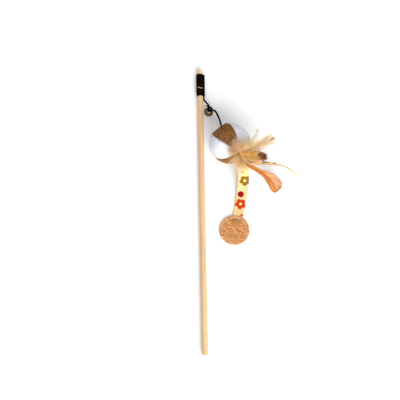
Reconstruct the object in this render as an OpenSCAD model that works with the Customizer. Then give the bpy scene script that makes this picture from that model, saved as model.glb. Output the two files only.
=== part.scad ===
// Cat teaser wand. A wooden rod carries an elastic cord, bound and stapled to its tip.
// On the cord are a jingle bell at a knot, a felt ball with feathers, and a printed ribbon
// that ends in a jute disc. The wand lies on a flat surface: +Y runs along the rod from the
// butt end to the tip, +X is the side on which the toy lies, and +Z is up.
// The origin is the centre of the butt end.

/* [Rod] */
// Length of the wooden rod
rod_length = 406; // [300:1:600]
// Diameter of the rod
rod_diameter = 8; // [7:0.5:10]
// Chamfer on both ends of the rod
rod_chamfer = 0.4; // [0.2:0.1:0.8]

/* [Binding] */
// Length of the binding along the rod
binding_length = 34; // [32:1:60]
// Bare wood between the binding and the tip
tip_bare = 5; // [2:0.5:20]
// Depth to which the tight binding sits in the wood
seat_depth = 0.2; // [0.1:0.05:0.4]
// Thickness of the inner layers of the binding
inner_layers = 0.44; // [0.4:0.02:0.8]
// Diameter of the binding's twine
twine_diameter = 0.86; // [0.7:0.02:0.9]
// Turns in the outer layer of the binding
twine_turns = 21; // [18:1:21]
// Length of the staple's crown across the rod
staple_length = 6.8; // [6:0.1:7]
// Width of the staple's crown along the rod
staple_width = 1.1; // [0.6:0.1:1.6]
// Thickness of the staple's wire
staple_wire = 0.5; // [0.3:0.05:0.55]
// Length of the staple's legs
staple_leg = 5.4; // [4:0.1:7]

/* [Cord] */
// Diameter of the elastic cord
cord_diameter = 1.8; // [1.4:0.1:2]
// Length of cord held under the binding
cord_held = 30; // [15:1:31]
// Outer radius of the knot's inner turns
knot_inner = 2.4; // [2.2:0.05:2.4]
// Outer radius of the knot's outer turns
knot_outer = 3; // [2.6:0.05:3]

/* [Bell] */
// Diameter of the bell's shell
bell_diameter = 12.6; // [11:0.1:12.8]
// Wall of the bell's shell
bell_wall = 0.5; // [0.3:0.05:0.7]
// Width of the crimped lip beyond the shell
bell_lip = 0.3; // [0.1:0.05:0.4]
// Height of half the crimped lip
bell_lip_height = 0.45; // [0.3:0.05:0.8]
// Width of the bell's two crossed slots
bell_slot = 1; // [0.6:0.1:1.4]
// Diameter of the round ends of the slots
bell_slot_end = 2; // [1.4:0.1:2.4]
// Height from the top of the shell to the cord in the eye
eye_rise = 2.7; // [2.7:0.1:4]
// Diameter of the wire of the bell's eye
eye_wire = 0.8; // [0.6:0.05:0.9]
// Diameter of the pea inside the bell
pea_diameter = 3; // [2.6:0.1:3.6]

/* [Ball] */
// Diameter of the ball over its felt
ball_diameter = 57; // [52:0.5:60]
// Thickness of the felt panels
felt_thickness = 1.9; // [1.2:0.1:3]
// Radius of the valley sewn along each seam
seam_valley = 0.7; // [0.4:0.1:1.2]
// Diameter of the thread tie at the front pole
tie_diameter = 6; // [5.4:0.2:7]
// Height of the thread tie
tie_height = 3.5; // [2.5:0.1:4.5]

/* [Feathers] */
// Length of the broad feather
broad_length = 80; // [60:1:95]
// Width of the broad feather near its tip
broad_width = 20; // [14:1:24]
// Length of the narrow striped feather
striped_length = 89; // [70:1:100]
// Width of the narrow striped feather
striped_width = 4.4; // [3:0.2:7]
// Length of the curled feather
curled_length = 30; // [24:1:36]
// Width of the curled feather
curled_width = 15; // [10:1:17]
// Length of the golden plume
golden_length = 51; // [42:1:60]
// Width of the golden plume
golden_width = 14; // [9:1:16]
// Length of the white plume
white_length = 45; // [35:1:52]
// Width of the white plume
white_width = 14; // [9:1:15]
// Length of the tuft of down that lies back over the ball
down_length = 25; // [18:1:28]
// Width of the tuft of down
down_width = 13; // [8:1:14]
// Diameter of a feather's quill
quill_diameter = 0.9; // [0.7:0.05:1.1]
// Thickness of a feather's vane at its edge
vane_thickness = 0.4; // [0.3:0.05:0.6]

/* [Ribbon and disc] */
// Width of the ribbon
ribbon_width = 15; // [12:0.5:17]
// Thickness of the ribbon
ribbon_thickness = 0.6; // [0.4:0.05:0.8]
// Diameter of the jute disc
disc_diameter = 42; // [38:0.5:50]
// Thickness of each jute layer of the disc
jute_thickness = 1.1; // [0.9:0.05:1.6]
// Thickness of the pad between the jute layers
pad_thickness = 1.4; // [1:0.1:2.5]
// Width of the rim outside the stitching
disc_rim = 3.1; // [2:0.1:4.5]
// Diameter of the stitching thread
stitch_thread = 0.7; // [0.5:0.05:0.8]
// Stitches round each face of the disc
stitch_count = 30; // [16:1:30]

/* [Hidden] */
$fn = 64;

// Clearances, shared by all the cuts and joints
free_gap = 0.3;    // between pieces that move past each other
bend_gap = 0.7;    // between the lengths of cord at its exit, where it folds back the most
bed_gap = 0.05;    // between pieces that are pressed or sewn together
cord_gap = 0.1;    // between the held cord and the rod
lay_gap = 0.1;     // between the outer turns and the layer that they lie on
lobe_gap = 0.12;   // between the outer turns and the cord that they pass over
overrun = 1;       // by which a cut runs past a face

// Rod and binding
rod_r = rod_diameter / 2;
seat_r = rod_r - seat_depth;
inner_r = seat_r + inner_layers;
twine_r = twine_diameter / 2;
wind_r = inner_r + lay_gap + twine_r;
floor_drop = wind_r + twine_r;
binding_start = rod_length - tip_bare - binding_length;
twine_pitch = (binding_length - twine_diameter) / twine_turns;
cord_r = cord_diameter / 2;
cord_side = rod_r + cord_gap + cord_r;
lobe_r = cord_r + lobe_gap + twine_r;
lobe_start = acos((wind_r - lobe_r) / cord_side);
lobe_end = atan2(lobe_r * sin(lobe_start), cord_side + lobe_r * cos(lobe_start));
rings_per_turn = 24;
twine_sides = 6;
// Degrees by which the rings of a turn crowd towards the cord
ring_crowding = 28;
// Turn of the binding, counted from the cord's exit, above which the staple sits
staple_turn = 6;
leg_side = staple_length / 2 - staple_wire / 2;

// The place where the cord leaves the binding, from which the toy is set out
exit_reach = 1.5;
exit_point = [cord_side, binding_start - exit_reach, 0];

// Bell and knot. The cord's strand through the bell's eye is the local X axis.
bell_r = bell_diameter / 2;
bell_inner = bell_r - bell_wall;
strand_height = bell_r + eye_rise;
strand_dip = 9.7;
strand_turn = -8;
knot_side = [8, -22.8];
knot_centre = [
    exit_point.x + knot_side.x,
    exit_point.y + knot_side.y,
    bell_r - floor_drop + strand_height * cos(strand_dip)
];
strand_x = [cos(strand_dip) * cos(strand_turn), cos(strand_dip) * sin(strand_turn), -sin(strand_dip)];
strand_y = [-sin(strand_turn), cos(strand_turn), 0];
eye_r = cord_r + 0.25 * cord_r + eye_wire / 2;
eye_leg_inside = 0.7;
inner_turn_place = eye_wire / 2 + free_gap + cord_r;
outer_turn_place = inner_turn_place + cord_r * 1.8;
knot_stub = 0.7;   // by which the cord stands out of the knot before it bends
knot_neck = 1.2;   // by which the cord stands out of the knot towards the binding
knot_end = outer_turn_place + cord_r + knot_stub;
neck_reach = knot_inner + knot_neck;
neck_end = knot_centre - inner_turn_place * strand_x + neck_reach * strand_y;
lift_pivot = knot_centre + knot_end * strand_x;
slot_height_share = 0.35;

// Ball. The local Z axis runs from the pole where the cord enters to the pole with the feathers.
ball_r = ball_diameter / 2;
core_r = ball_r - felt_thickness;
ball_side = [34.8, -78.2];
ball_centre = [exit_point.x + ball_side.x, exit_point.y + ball_side.y, ball_r - floor_drop];
pole_tilt = 49.3;
pole_turn = -56.8;
seam_spin = 215.7;
// Seams round the ball, as measured: the panels aren't quite equal
seam_angles = [0, 60, 118, 177, 236, 295.5, 360];
pole_x = [cos(pole_tilt) * cos(pole_turn), cos(pole_tilt) * sin(pole_turn), -sin(pole_tilt)];
pole_y = [-sin(pole_turn), cos(pole_turn), 0];
pole_z = [sin(pole_tilt) * cos(pole_turn), sin(pole_tilt) * sin(pole_turn), cos(pole_tilt)];
entry_r = cord_r + free_gap;
entry_depth = 8;
cord_in_ball = 4;
stem_length = 5;
tie_r = tie_diameter / 2;
tie_thread = 0.9;
tie_top = ball_r + tie_height;

// Cord routes, as steps from the cord's exit. Their ends follow the pieces that they meet.
upper_route = [[1.1, -4, 1.7], [2.7, -7.4, 4], [4.3, -10.4, 7], [6, -13.2, 9.4], [7.2, -16.5, 10.3]];
lower_route = [
    [15.5, -24.4, 8.4], [18.6, -28, 6.6], [21.3, -32.5, 4.2], [23.3, -37.3, 1.6], [24.7, -41.2, -0.9],
    [25.3, -45.8, -2.9], [24, -49.4, -4], [21.4, -52.4, -3.6], [19.9, -54.6, -1.6]
];
upper_start = [0.45, -1.1, 0.3];
cord_sides = 8;

// Feathers: the way from the tie to the tip, as a compass angle and a dip below level
bundle_length = 32;
bundle_share = 0.21;   // of the bundle's length, for the feathers that leave it early
bundle_heading = -62;
bundle_dip = -14;
quill_ring_radius = 1.5;
broad_heading = -34.5;
broad_dip = 29.9;
broad_waist_share = 0.53;
broad_waist_heading = -45;
broad_waist_dip = 6.7;
striped_heading = -19.3;
striped_dip = 14.9;
striped_waist_share = 0.57;
striped_waist_heading = -11.3;
striped_waist_dip = -5.6;
curled_heading = 1;
curled_dip = -14;
golden_heading = 21;
golden_dip = 0;
white_heading = 55;
white_dip = 16;
white_arch_height = 7;
down_heading = 125;
down_dip = -19.5;
down_arch_height = 7;
feather_steps = 16;
vane_crown_share = 0.55;
broad_shares = [[0, 0], [0.22, 0.16], [0.4, 0.3], [0.6, 0.55], [0.8, 0.94], [0.92, 1], [1, 0.55]];
striped_shares = [[0, 0], [0.2, 0.5], [0.35, 1], [0.7, 0.95], [0.84, 0.5], [0.9, 0.1], [1, 0.05]];
plume_shares = [[0, 0], [0.14, 0.12], [0.4, 0.9], [0.6, 1], [0.85, 0.6], [1, 0.12]];
down_shares = [[0, 0], [0.2, 0.6], [0.55, 1], [0.85, 0.75], [1, 0.3]];

// Ribbon route, as steps from the cord's exit. Its ends follow the tie and the disc. Near the tie it
// also follows the ball's size, by a share that dies away: the pole moves out and the ball stands up.
ribbon_steps = [
    [37.769, -86.72, -10.185], [41.244, -94.832, -8.422], [44.118, -102.844, -7.959],
    [46.293, -110.856, -8.097], [47.768, -119.268, -7.834], [48.842, -128.28, -6.371],
    [49.617, -137.992, -3.508], [49.6, -147.3, -1.6], [48.2, -155, -3.2], [46.8, -162.3, -3.9],
    [45.5, -168.3, -3.9]
];
ribbon_ball_shares = [1, 0.85, 0.7, 0.55, 0.4, 0.25, 0.1, 0, 0, 0, 0];
ribbon_route = [for (i = [0:len(ribbon_steps) - 1])
    ribbon_steps[i] + ribbon_ball_shares[i] * ball_r * (pole_z + [0, 0, 1])];
ribbon_root_turn = -12;
ribbon_root_shares = [0.4, 0.62, 0.86];
ribbon_end_r = ribbon_thickness / 2;

// Disc. The local Y axis points from its centre to the ribbon.
disc_r = disc_diameter / 2;
disc_side = [38.4, -195.7];
disc_turn = -14.6;
disc_thickness = 2 * jute_thickness + pad_thickness;
disc_base = [exit_point.x + disc_side.x, exit_point.y + disc_side.y, -floor_drop];
pad_inset = 1.4;
pad_r = disc_r - pad_inset;
stitch_r = disc_r - disc_rim;
// Depth from a face of the disc to the middle of the stitching, which lies just below it
stitch_cover = 0.03;
stitch_sink = stitch_thread / 2 + stitch_cover;
stitch_groove_r = stitch_thread / 2 + bed_gap;
tab_inside = 8;
tab_reach = 2.3;
flap_pivot = disc_base + [
    -(disc_r + tab_reach) * sin(disc_turn),
    (disc_r + tab_reach) * cos(disc_turn),
    disc_thickness / 2
];

// General functions

function unit(v) = v / norm(v);
function compass(heading, dip) = [cos(dip) * cos(heading), cos(dip) * sin(heading), -sin(dip)];
function in_ball(p) = ball_centre + p.x * pole_x + p.y * pole_y + p.z * pole_z;
function joined(lists) = [for (l = lists) for (item = l) item];

// Direction of a path at point i: the chord between its neighbours
function heading_at(path, i) =
    unit(path[min(i + 1, len(path) - 1)] - path[max(i - 1, 0)]);

// One ring of a round tube about a point, square to a direction, with its seam towards a reference
function ring(centre, along, reference, radius, sides) =
    let (across = unit(cross(along, reference)), out = cross(across, along))
    [for (k = [0:sides - 1])
        centre + radius * (cos(k * 360 / sides) * out + sin(k * 360 / sides) * across)];

// A closed skin of triangles over rings that all have as many points
module loft(rings) {
    count = len(rings[0]);
    last = len(rings) - 1;
    sides = joined([for (i = [0:last - 1]) for (k = [0:count - 1])
        let (a = i * count + k, b = i * count + (k + 1) % count)
        [[a, b + count, b], [a, a + count, b + count]]]);
    start_cap = [for (k = [1:count - 2]) [0, k, k + 1]];
    end_cap = [for (k = [1:count - 2]) [last * count, last * count + k + 1, last * count + k]];
    polyhedron(points = joined(rings), faces = concat(sides, start_cap, end_cap), convexity = 6);
}

// A round tube along a path, whose ends are square to the directions given
module tube(path, start_along, end_along, reference, radius, sides) {
    last = len(path) - 1;
    loft([for (i = [0:last])
        ring(path[i], i == 0 ? start_along : i == last ? end_along : heading_at(path, i),
            reference, radius, sides)]);
}

// Turns local +Z to point along the rod
module along_rod() {
    rotate([-90, 0, 0]) children();
}

// Rod

module staple_leg_cuts(gap) {
    for (side = [-1, 1])
        translate([side * leg_side - staple_wire / 2 - gap, -staple_wire / 2 - gap, -staple_leg - gap])
            cube([staple_wire + 2 * gap, staple_wire + 2 * gap, staple_leg + gap + overrun]);
}

module rod() {
    color("burlywood")
        difference() {
            along_rod() rotate_extrude()
                polygon([
                    [0, 0], [rod_r - rod_chamfer, 0], [rod_r, rod_chamfer], [rod_r, binding_start],
                    [seat_r, binding_start], [seat_r, rod_length - tip_bare],
                    [rod_r, rod_length - tip_bare], [rod_r, rod_length - rod_chamfer],
                    [rod_r - rod_chamfer, rod_length], [0, rod_length]
                ]);
            at_staple() staple_leg_cuts(bed_gap);
        }
}

// Binding: an inner sleeve of packed layers, and the outer layer as one wound tube

module binding_core() {
    color("#33241f")
        difference() {
            translate([0, binding_start, 0]) along_rod() cylinder(r = inner_r, h = binding_length);
            translate([0, binding_start - overrun, 0])
                along_rod() cylinder(r = seat_r, h = binding_length + 2 * overrun);
            translate([cord_side, binding_start - overrun, 0])
                along_rod() cylinder(r = cord_r + bed_gap, h = cord_held + overrun + bed_gap);
            at_staple() staple_leg_cuts(bed_gap);
        }
}

// Angle round the rod at a lap of the winding, with the rings crowded where it passes the cord
function lap_angle(lap) = 360 * lap - ring_crowding * sin(360 * lap);

// The lap at which the winding reaches an angle, found by repeated substitution
function lap_at(angle, guess = undef, left = 12) =
    let (now = is_undef(guess) ? angle : guess)
    left == 0 ? now / 360 : lap_at(angle, angle + ring_crowding * sin(now), left - 1);

// Radius of the winding at an angle: round the sleeve, then straight to the cord and over it
function wrap_radius(angle) =
    let (t = abs(angle - 360 * round(angle / 360)))
    t >= lobe_start ? wind_r
    : t >= lobe_end ? wind_r / cos(lobe_start - t)
    : cord_side * cos(t) + sqrt(lobe_r ^ 2 - (cord_side * sin(t)) ^ 2);

function wrap_point(lap) =
    let (angle = lap_angle(lap), r = wrap_radius(angle))
    [r * cos(angle), binding_start + twine_r + twine_pitch * (lap - first_lap), r * sin(angle)];

first_lap = -0.25;
wound = [for (i = [0:twine_turns * rings_per_turn]) wrap_point(first_lap + i / rings_per_turn)];
wound_first = unit(wound[1] - wound[0]);
wound_last = unit(wound[len(wound) - 1] - wound[len(wound) - 2]);
twine_path = concat(
    [wound[0] - twine_diameter * wound_first],
    wound,
    [wound[len(wound) - 1] + twine_diameter * wound_last]
);
least_twine_gap = min([for (i = [0:len(wound) - 1])
    for (j = [i + rings_per_turn - 5:min(i + rings_per_turn + 5, len(wound) - 1)])
        norm(wound[i] - wound[j])]) - twine_diameter;
echo(str("Least gap between the turns of the binding: ", least_twine_gap, " mm"));

module binding_twine() {
    color("#2b1d19")
        tube(twine_path, wound_first, wound_last, [0, 1, 0], twine_r, twine_sides);
}

// Staple: its legs pass between two turns, so it slopes as they do

leg_angle = asin(leg_side / wind_r);
right_lap = lap_at(90 - leg_angle);
left_lap = lap_at(90 + leg_angle);
staple_slope = -atan2(twine_pitch * (left_lap - right_lap), 2 * leg_side);
staple_y = binding_start + twine_r
    + twine_pitch * (staple_turn + 0.5 + (left_lap + right_lap) / 2 - first_lap);

module at_staple() {
    translate([0, staple_y, floor_drop + bed_gap]) rotate([0, 0, staple_slope]) children();
}

module staple() {
    color("#a08a70")
        at_staple() {
            translate([-staple_length / 2, -staple_width / 2, 0])
                cube([staple_length, staple_width, staple_wire]);
            for (side = [-1, 1])
                translate([side * leg_side - staple_wire / 2, -staple_wire / 2, -staple_leg])
                    cube([staple_wire, staple_wire, staple_leg + staple_wire / 2]);
        }
}

// Cord

module cord_anchor() {
    color("#1c1a1a") {
        translate(exit_point) along_rod() cylinder(r = cord_r, h = cord_held + exit_reach);
        translate(exit_point) sphere(r = cord_r);
    }
}

module cord_upper() {
    path = concat(
        [exit_point + (cord_r + bend_gap) * unit(upper_start)],
        [for (step = upper_route) exit_point + step],
        [neck_end]
    );
    color("#1c1a1a") tube(path, unit(upper_start), -strand_y, [0, 0, 1], cord_r, cord_sides);
}

module at_strand() {
    translate(knot_centre) rotate([0, strand_dip, strand_turn]) children();
}

module knot_turn(place, outer) {
    translate([place, 0, 0]) rotate([0, 90, 0])
        rotate_extrude() translate([outer - cord_r, 0]) circle(r = cord_r);
}

module knot() {
    color("#1c1a1a")
        at_strand() {
            for (side = [-1, 1]) {
                knot_turn(side * inner_turn_place, knot_inner);
                knot_turn(side * outer_turn_place, knot_outer);
            }
            translate([-outer_turn_place, 0, 0])
                rotate([0, 90, 0]) cylinder(r = cord_r, h = outer_turn_place + knot_end);
            translate([knot_end, 0, 0]) sphere(r = cord_r);
            translate([-inner_turn_place, 0, 0])
                rotate([-90, 0, 0]) cylinder(r = cord_r, h = neck_reach);
        }
}

module cord_lower() {
    entry = in_ball([0, 0, -ball_r]);
    path = concat(
        [lift_pivot + (cord_r + free_gap) * strand_x],
        [for (step = lower_route) exit_point + step],
        [entry - 5 * pole_z * cord_r, entry, entry + cord_in_ball * pole_z]
    );
    color("#1c1a1a") tube(path, strand_x, pole_z, [0, 0, 1], cord_r, cord_sides);
}

// Bell: two shells crimped at the lip, a wire eye and a loose pea

module at_bell() {
    at_strand() translate([0, 0, -strand_height]) children();
}

module bell_half(up) {
    difference() {
        union() {
            sphere(r = bell_r);
            translate([0, 0, -bell_lip_height]) cylinder(r = bell_r + bell_lip, h = 2 * bell_lip_height);
        }
        sphere(r = bell_inner);
        translate([-bell_diameter, -bell_diameter, up ? -2 * bell_diameter : 0])
            cube(2 * bell_diameter);
    }
}

module bell_top() {
    color("#b89a4a")
        at_bell() difference() {
            bell_half(true);
            for (side = [-1, 1])
                translate([0, side * eye_r, 0]) cylinder(r = eye_wire / 2 + bed_gap, h = bell_diameter);
        }
}

module bell_bottom() {
    slot_top = bell_r * slot_height_share;
    color("#b89a4a")
        at_bell() difference() {
            bell_half(false);
            for (turn = [0, 90]) rotate([0, 0, turn]) {
                translate([-bell_diameter, -bell_slot / 2, -bell_diameter])
                    cube([2 * bell_diameter, bell_slot, bell_diameter - slot_top]);
                translate([-bell_diameter, 0, -slot_top])
                    rotate([0, 90, 0]) cylinder(d = bell_slot_end, h = 2 * bell_diameter);
            }
        }
}

module bell_eye() {
    leg = strand_height - sqrt(bell_inner ^ 2 - eye_r ^ 2) + eye_leg_inside;
    color("#c2ab6a")
        at_strand() {
            rotate([90, 0, 90]) rotate_extrude(angle = 180) translate([eye_r, 0]) circle(d = eye_wire);
            for (side = [-1, 1])
                translate([0, side * eye_r, -leg]) cylinder(d = eye_wire, h = leg);
        }
}

module bell_pea() {
    color("silver")
        at_bell() translate([0, 0, pea_diameter / 2 + free_gap - bell_inner]) sphere(d = pea_diameter);
}

// Ball: a stuffed core, six felt panels and the tie that holds the feathers

module at_ball() {
    translate(ball_centre) rotate([0, pole_tilt, pole_turn]) children();
}

module ball_core() {
    color("#d8cfc0")
        at_ball() difference() {
            sphere(r = core_r);
            translate([0, 0, -ball_r]) cylinder(r = entry_r, h = felt_thickness + entry_depth);
            translate([0, 0, core_r - stem_length]) cylinder(r = entry_r, h = ball_r);
        }
}

module seam(angle) {
    rotate([90, 0, angle]) rotate_extrude() translate([ball_r, 0]) circle(r = seam_valley);
}

module gore(number) {
    width = seam_angles[number + 1] - seam_angles[number];
    far = 2 * ball_diameter;
    at_ball() rotate([0, 0, seam_spin + seam_angles[number]]) difference() {
        intersection() {
            sphere(r = ball_r);
            translate([0, 0, -ball_r]) linear_extrude(height = ball_diameter)
                polygon([
                    [0, 0], [far, 0], far * [cos(width / 2), sin(width / 2)],
                    far * [cos(width), sin(width)]
                ]);
        }
        sphere(r = core_r + bed_gap);
        translate([0, 0, -ball_r]) cylinder(r = entry_r, h = ball_diameter);
        seam(0);
        seam(width);
    }
}

module brown_gore(number) {
    color("#8a5a34") gore(number);
}

module white_gore(number) {
    color("#ecebf0") gore(number);
}

module feather_tie() {
    rows = floor(tie_height / tie_thread);
    color("#c9b48c")
        at_ball() {
            difference() {
                union() {
                    translate([0, 0, ball_r - tie_thread])
                        cylinder(r = tie_r - tie_thread / 2, h = tie_height + tie_thread);
                    for (row = [0:rows - 1])
                        translate([0, 0, tie_top - (row + 0.5) * tie_thread])
                            rotate_extrude() translate([tie_r - tie_thread / 2, 0])
                                circle(d = tie_thread);
                }
                sphere(r = ball_r + bed_gap);
            }
            translate([0, 0, ball_r - stem_length]) cylinder(r = cord_r, h = stem_length + tie_height);
        }
}

// Feathers

// Value at a share of the length, straight between the listed pairs
function share_at(table, u) = lookup(u, table);

// Where a quill starts: on a ring above the tie, higher where it turns back over the ball
function quill_root(place, over) =
    in_ball([
        quill_ring_radius * cos(place),
        quill_ring_radius * sin(place),
        tie_top + free_gap + (over ? quill_diameter / 2 : 0)
    ]);

// The way along the bundle, from which a quill then turns towards its own tip
function with_bundle(share) = share * bundle_length * compass(bundle_heading, bundle_dip);

// The bend of a quill that arches over the ball on its way to its tip
function arched(tip, rise) = tip / 2 + rise * unit(tie_top * pole_z + tip / 2);

// The two steps from its root that a quill bends towards when it bends evenly, or by a waist of its own
function evenly(bend, tip) = [2 / 3 * bend, 2 / 3 * bend + tip / 3];
function by_waist(length, heading, dip) = [with_bundle(1), length * compass(heading, dip)];

// Across a feather: edge, ridge, edge, then the same beneath
function vane_ring(centre, along, above, half_width, ridge) =
    let (side = unit(cross(along, above)), up = cross(side, along), edge = vane_thickness / 2)
    [
        centre + half_width * side + edge * up,
        centre + half_width * side - edge * up,
        centre - ridge * up,
        centre - half_width * side - edge * up,
        centre - half_width * side + edge * up,
        centre + ridge * up
    ];

module feather(place, tip, bends, width, shares, over = false) {
    root = quill_root(place, over);
    path = [for (i = [0:feather_steps])
        let (u = i / feather_steps, v = 1 - u)
        root + 3 * u * v * v * bends[0] + 3 * u * u * v * bends[1] + u * u * u * tip];
    quill_r = quill_diameter / 2;
    // The vane keeps a slight crown to its tip, so that no ring has three points in line
    tip_ridge = vane_crown_share * vane_thickness;
    loft([for (i = [0:feather_steps])
        let (u = i / feather_steps)
        vane_ring(path[i], heading_at(path, i), over ? unit(path[i] - ball_centre) : [0, 0, 1],
            max(quill_r * (1 - u / 2), width / 2 * share_at(shares, u)),
            tip_ridge + (quill_r - vane_thickness / 4) * (1 - u))]);
}

module feather_broad() {
    tip = broad_length * compass(broad_heading, broad_dip);
    bends = by_waist(broad_waist_share * broad_length, broad_waist_heading, broad_waist_dip);
    color("#e0a878") feather(0, tip, bends, broad_width, broad_shares);
}

module feather_striped() {
    tip = striped_length * compass(striped_heading, striped_dip);
    bends = by_waist(striped_waist_share * striped_length, striped_waist_heading, striped_waist_dip);
    color("#c98a52") feather(-60, tip, bends, striped_width, striped_shares);
}

module feather_curled() {
    tip = curled_length * compass(curled_heading, curled_dip);
    bends = evenly(with_bundle(bundle_share), tip);
    color("#b5713c") feather(-120, tip, bends, curled_width, plume_shares);
}

module plume_golden() {
    tip = golden_length * compass(golden_heading, golden_dip);
    bends = evenly(with_bundle(bundle_share), tip);
    color("#d9a45c") feather(60, tip, bends, golden_width, plume_shares);
}

module plume_white() {
    tip = white_length * compass(white_heading, white_dip);
    bends = evenly(arched(tip, white_arch_height), tip);
    color("#eadfd4") feather(120, tip, bends, white_width, plume_shares, true);
}

module down_tuft() {
    tip = down_length * compass(down_heading, down_dip);
    bends = evenly(arched(tip, down_arch_height), tip);
    color("#c8b49c") feather(180, tip, bends, down_width, down_shares, true);
}

// Ribbon

ribbon_root = in_ball([
    (tie_r + free_gap + ribbon_end_r) * cos(ribbon_root_turn),
    (tie_r + free_gap + ribbon_end_r) * sin(ribbon_root_turn),
    ball_r + tie_height / 2
]);

// Across the ribbon: a flat strip, level from side to side
function strip_ring(centre, along, width) =
    let (side = unit(cross(along, [0, 0, 1])), up = cross(side, along), half = ribbon_thickness / 2)
    [
        centre + width / 2 * side + half * up,
        centre + width / 2 * side - half * up,
        centre - width / 2 * side - half * up,
        centre - width / 2 * side + half * up
    ];

module ribbon() {
    first = exit_point + ribbon_route[0];
    last = exit_point + ribbon_route[len(ribbon_route) - 1];
    path = concat(
        [ribbon_root + ribbon_end_r * unit(first - ribbon_root)],
        [for (step = ribbon_route) exit_point + step],
        [flap_pivot + (ribbon_end_r + free_gap) * unit(last - flap_pivot)]
    );
    color("#f0dcae")
        loft([for (i = [0:len(path) - 1])
            strip_ring(path[i], heading_at(path, i),
                ribbon_width * (i < len(ribbon_root_shares) ? ribbon_root_shares[i] : 1))]);
}

// Disc: two jute faces with a pad between them, stitched round, with the ribbon's end sewn in

module at_disc() {
    translate(disc_base) rotate([0, 0, disc_turn]) children();
}

module tab_shape(gap) {
    end_y = disc_r + tab_reach;
    translate([-ribbon_width / 2 - gap, disc_r - tab_inside - gap, disc_thickness / 2 - ribbon_end_r - gap])
        cube([ribbon_width + 2 * gap, tab_inside + tab_reach + gap, ribbon_thickness + 2 * gap]);
    translate([-ribbon_width / 2 - gap, end_y, disc_thickness / 2])
        rotate([0, 90, 0]) cylinder(r = ribbon_end_r + gap, h = ribbon_width + 2 * gap);
}

module ribbon_tab() {
    color("#f0dcae") at_disc() tab_shape(0);
}

module jute_layer() {
    difference() {
        cylinder(r = disc_r, h = jute_thickness);
        translate([0, 0, stitch_sink])
            rotate_extrude() translate([stitch_r, 0]) circle(r = stitch_groove_r);
        difference() {
            translate([0, 0, -overrun])
                cylinder(r = stitch_r + stitch_groove_r, h = stitch_sink + overrun);
            translate([0, 0, -2 * overrun])
                cylinder(r = stitch_r - stitch_groove_r, h = stitch_sink + 3 * overrun);
        }
    }
}

module disc_back() {
    color("#c08c54") at_disc() jute_layer();
}

module disc_front() {
    color("#c08c54")
        at_disc() translate([0, 0, disc_thickness]) rotate([180, 0, 0]) jute_layer();
}

module disc_pad() {
    color("#b9a183")
        at_disc() difference() {
            translate([0, 0, jute_thickness]) cylinder(r = pad_r, h = pad_thickness);
            tab_shape(bed_gap);
        }
}

module disc_stitching() {
    step = 360 / stitch_count;
    color("#efe6d6")
        at_disc() for (height = [stitch_sink, disc_thickness - stitch_sink], i = [0:stitch_count - 1])
            translate([0, 0, height]) rotate([0, 0, i * step])
                rotate_extrude(angle = step * 0.7) translate([stitch_r, 0]) circle(d = stitch_thread);
}

rod();
binding_core();
binding_twine();
staple();
cord_anchor();
cord_upper();
knot();
bell_top();
bell_bottom();
bell_eye();
bell_pea();
cord_lower();
ball_core();
white_gore(0);  // white_gore_1
brown_gore(1);  // brown_gore_1
white_gore(2);  // white_gore_2
brown_gore(3);  // brown_gore_2
white_gore(4);  // white_gore_3
brown_gore(5);  // brown_gore_3
feather_tie();
feather_broad();
feather_striped();
feather_curled();
plume_golden();
plume_white();
down_tuft();
ribbon();
ribbon_tab();
disc_front();
disc_pad();
disc_back();
disc_stitching();
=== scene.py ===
"""Looks of a cat teaser wand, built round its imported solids.

Every surface is worked out with numpy, in metres, in the frame of the solids: +Y runs along the
rod from its butt end, +X is the side on which the toy lies, and +Z is up.
"""

import logging
from collections.abc import Sequence
from dataclasses import dataclass, field
from enum import Enum
from itertools import accumulate
from math import atan, pi, radians

import bpy
import numpy as np
from mathutils import Matrix, Vector


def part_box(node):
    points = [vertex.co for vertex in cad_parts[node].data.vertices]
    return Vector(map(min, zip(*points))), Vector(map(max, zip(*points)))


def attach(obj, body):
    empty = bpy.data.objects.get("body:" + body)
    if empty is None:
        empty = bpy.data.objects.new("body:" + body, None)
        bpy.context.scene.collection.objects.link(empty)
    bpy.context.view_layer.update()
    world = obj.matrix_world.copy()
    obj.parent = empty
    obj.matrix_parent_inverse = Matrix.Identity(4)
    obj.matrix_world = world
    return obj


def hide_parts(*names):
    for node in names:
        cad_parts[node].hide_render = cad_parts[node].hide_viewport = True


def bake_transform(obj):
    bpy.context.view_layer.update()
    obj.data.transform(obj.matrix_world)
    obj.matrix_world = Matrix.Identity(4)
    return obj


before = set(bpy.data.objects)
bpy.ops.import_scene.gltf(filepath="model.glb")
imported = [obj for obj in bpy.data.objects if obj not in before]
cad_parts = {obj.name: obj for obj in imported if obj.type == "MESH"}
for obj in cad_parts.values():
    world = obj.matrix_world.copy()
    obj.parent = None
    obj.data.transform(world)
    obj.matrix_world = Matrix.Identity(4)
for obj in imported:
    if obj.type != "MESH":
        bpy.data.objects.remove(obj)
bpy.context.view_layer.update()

Array = np.ndarray
Colour = tuple[float, float, float, float]
log = logging.getLogger("teaser_wand")
MM = 0.001
UP = np.array([0.0, 0.0, 1.0])


# Directions and paths


def unit(vectors: Array) -> Array:
    """Scale vectors, whose last axis holds x, y and z, to length one."""
    return vectors / np.maximum(np.linalg.norm(vectors, axis=-1, keepdims=True), 1e-12)


def tilted(tilt: float, turn: float) -> Array:
    """Axes of a frame that is tilted about Y and then turned about Z, in degrees.

    Args:
        tilt: turn about Y, which lowers the local X axis.
        turn: turn about Z.

    Returns:
        A 3 by 3 array whose rows are the local X, Y and Z directions.
    """
    t, a = radians(tilt), radians(turn)
    return np.array([
        [np.cos(t) * np.cos(a), np.cos(t) * np.sin(a), -np.sin(t)],
        [-np.sin(a), np.cos(a), 0.0],
        [np.sin(t) * np.cos(a), np.sin(t) * np.sin(a), np.cos(t)],
    ])


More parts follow.
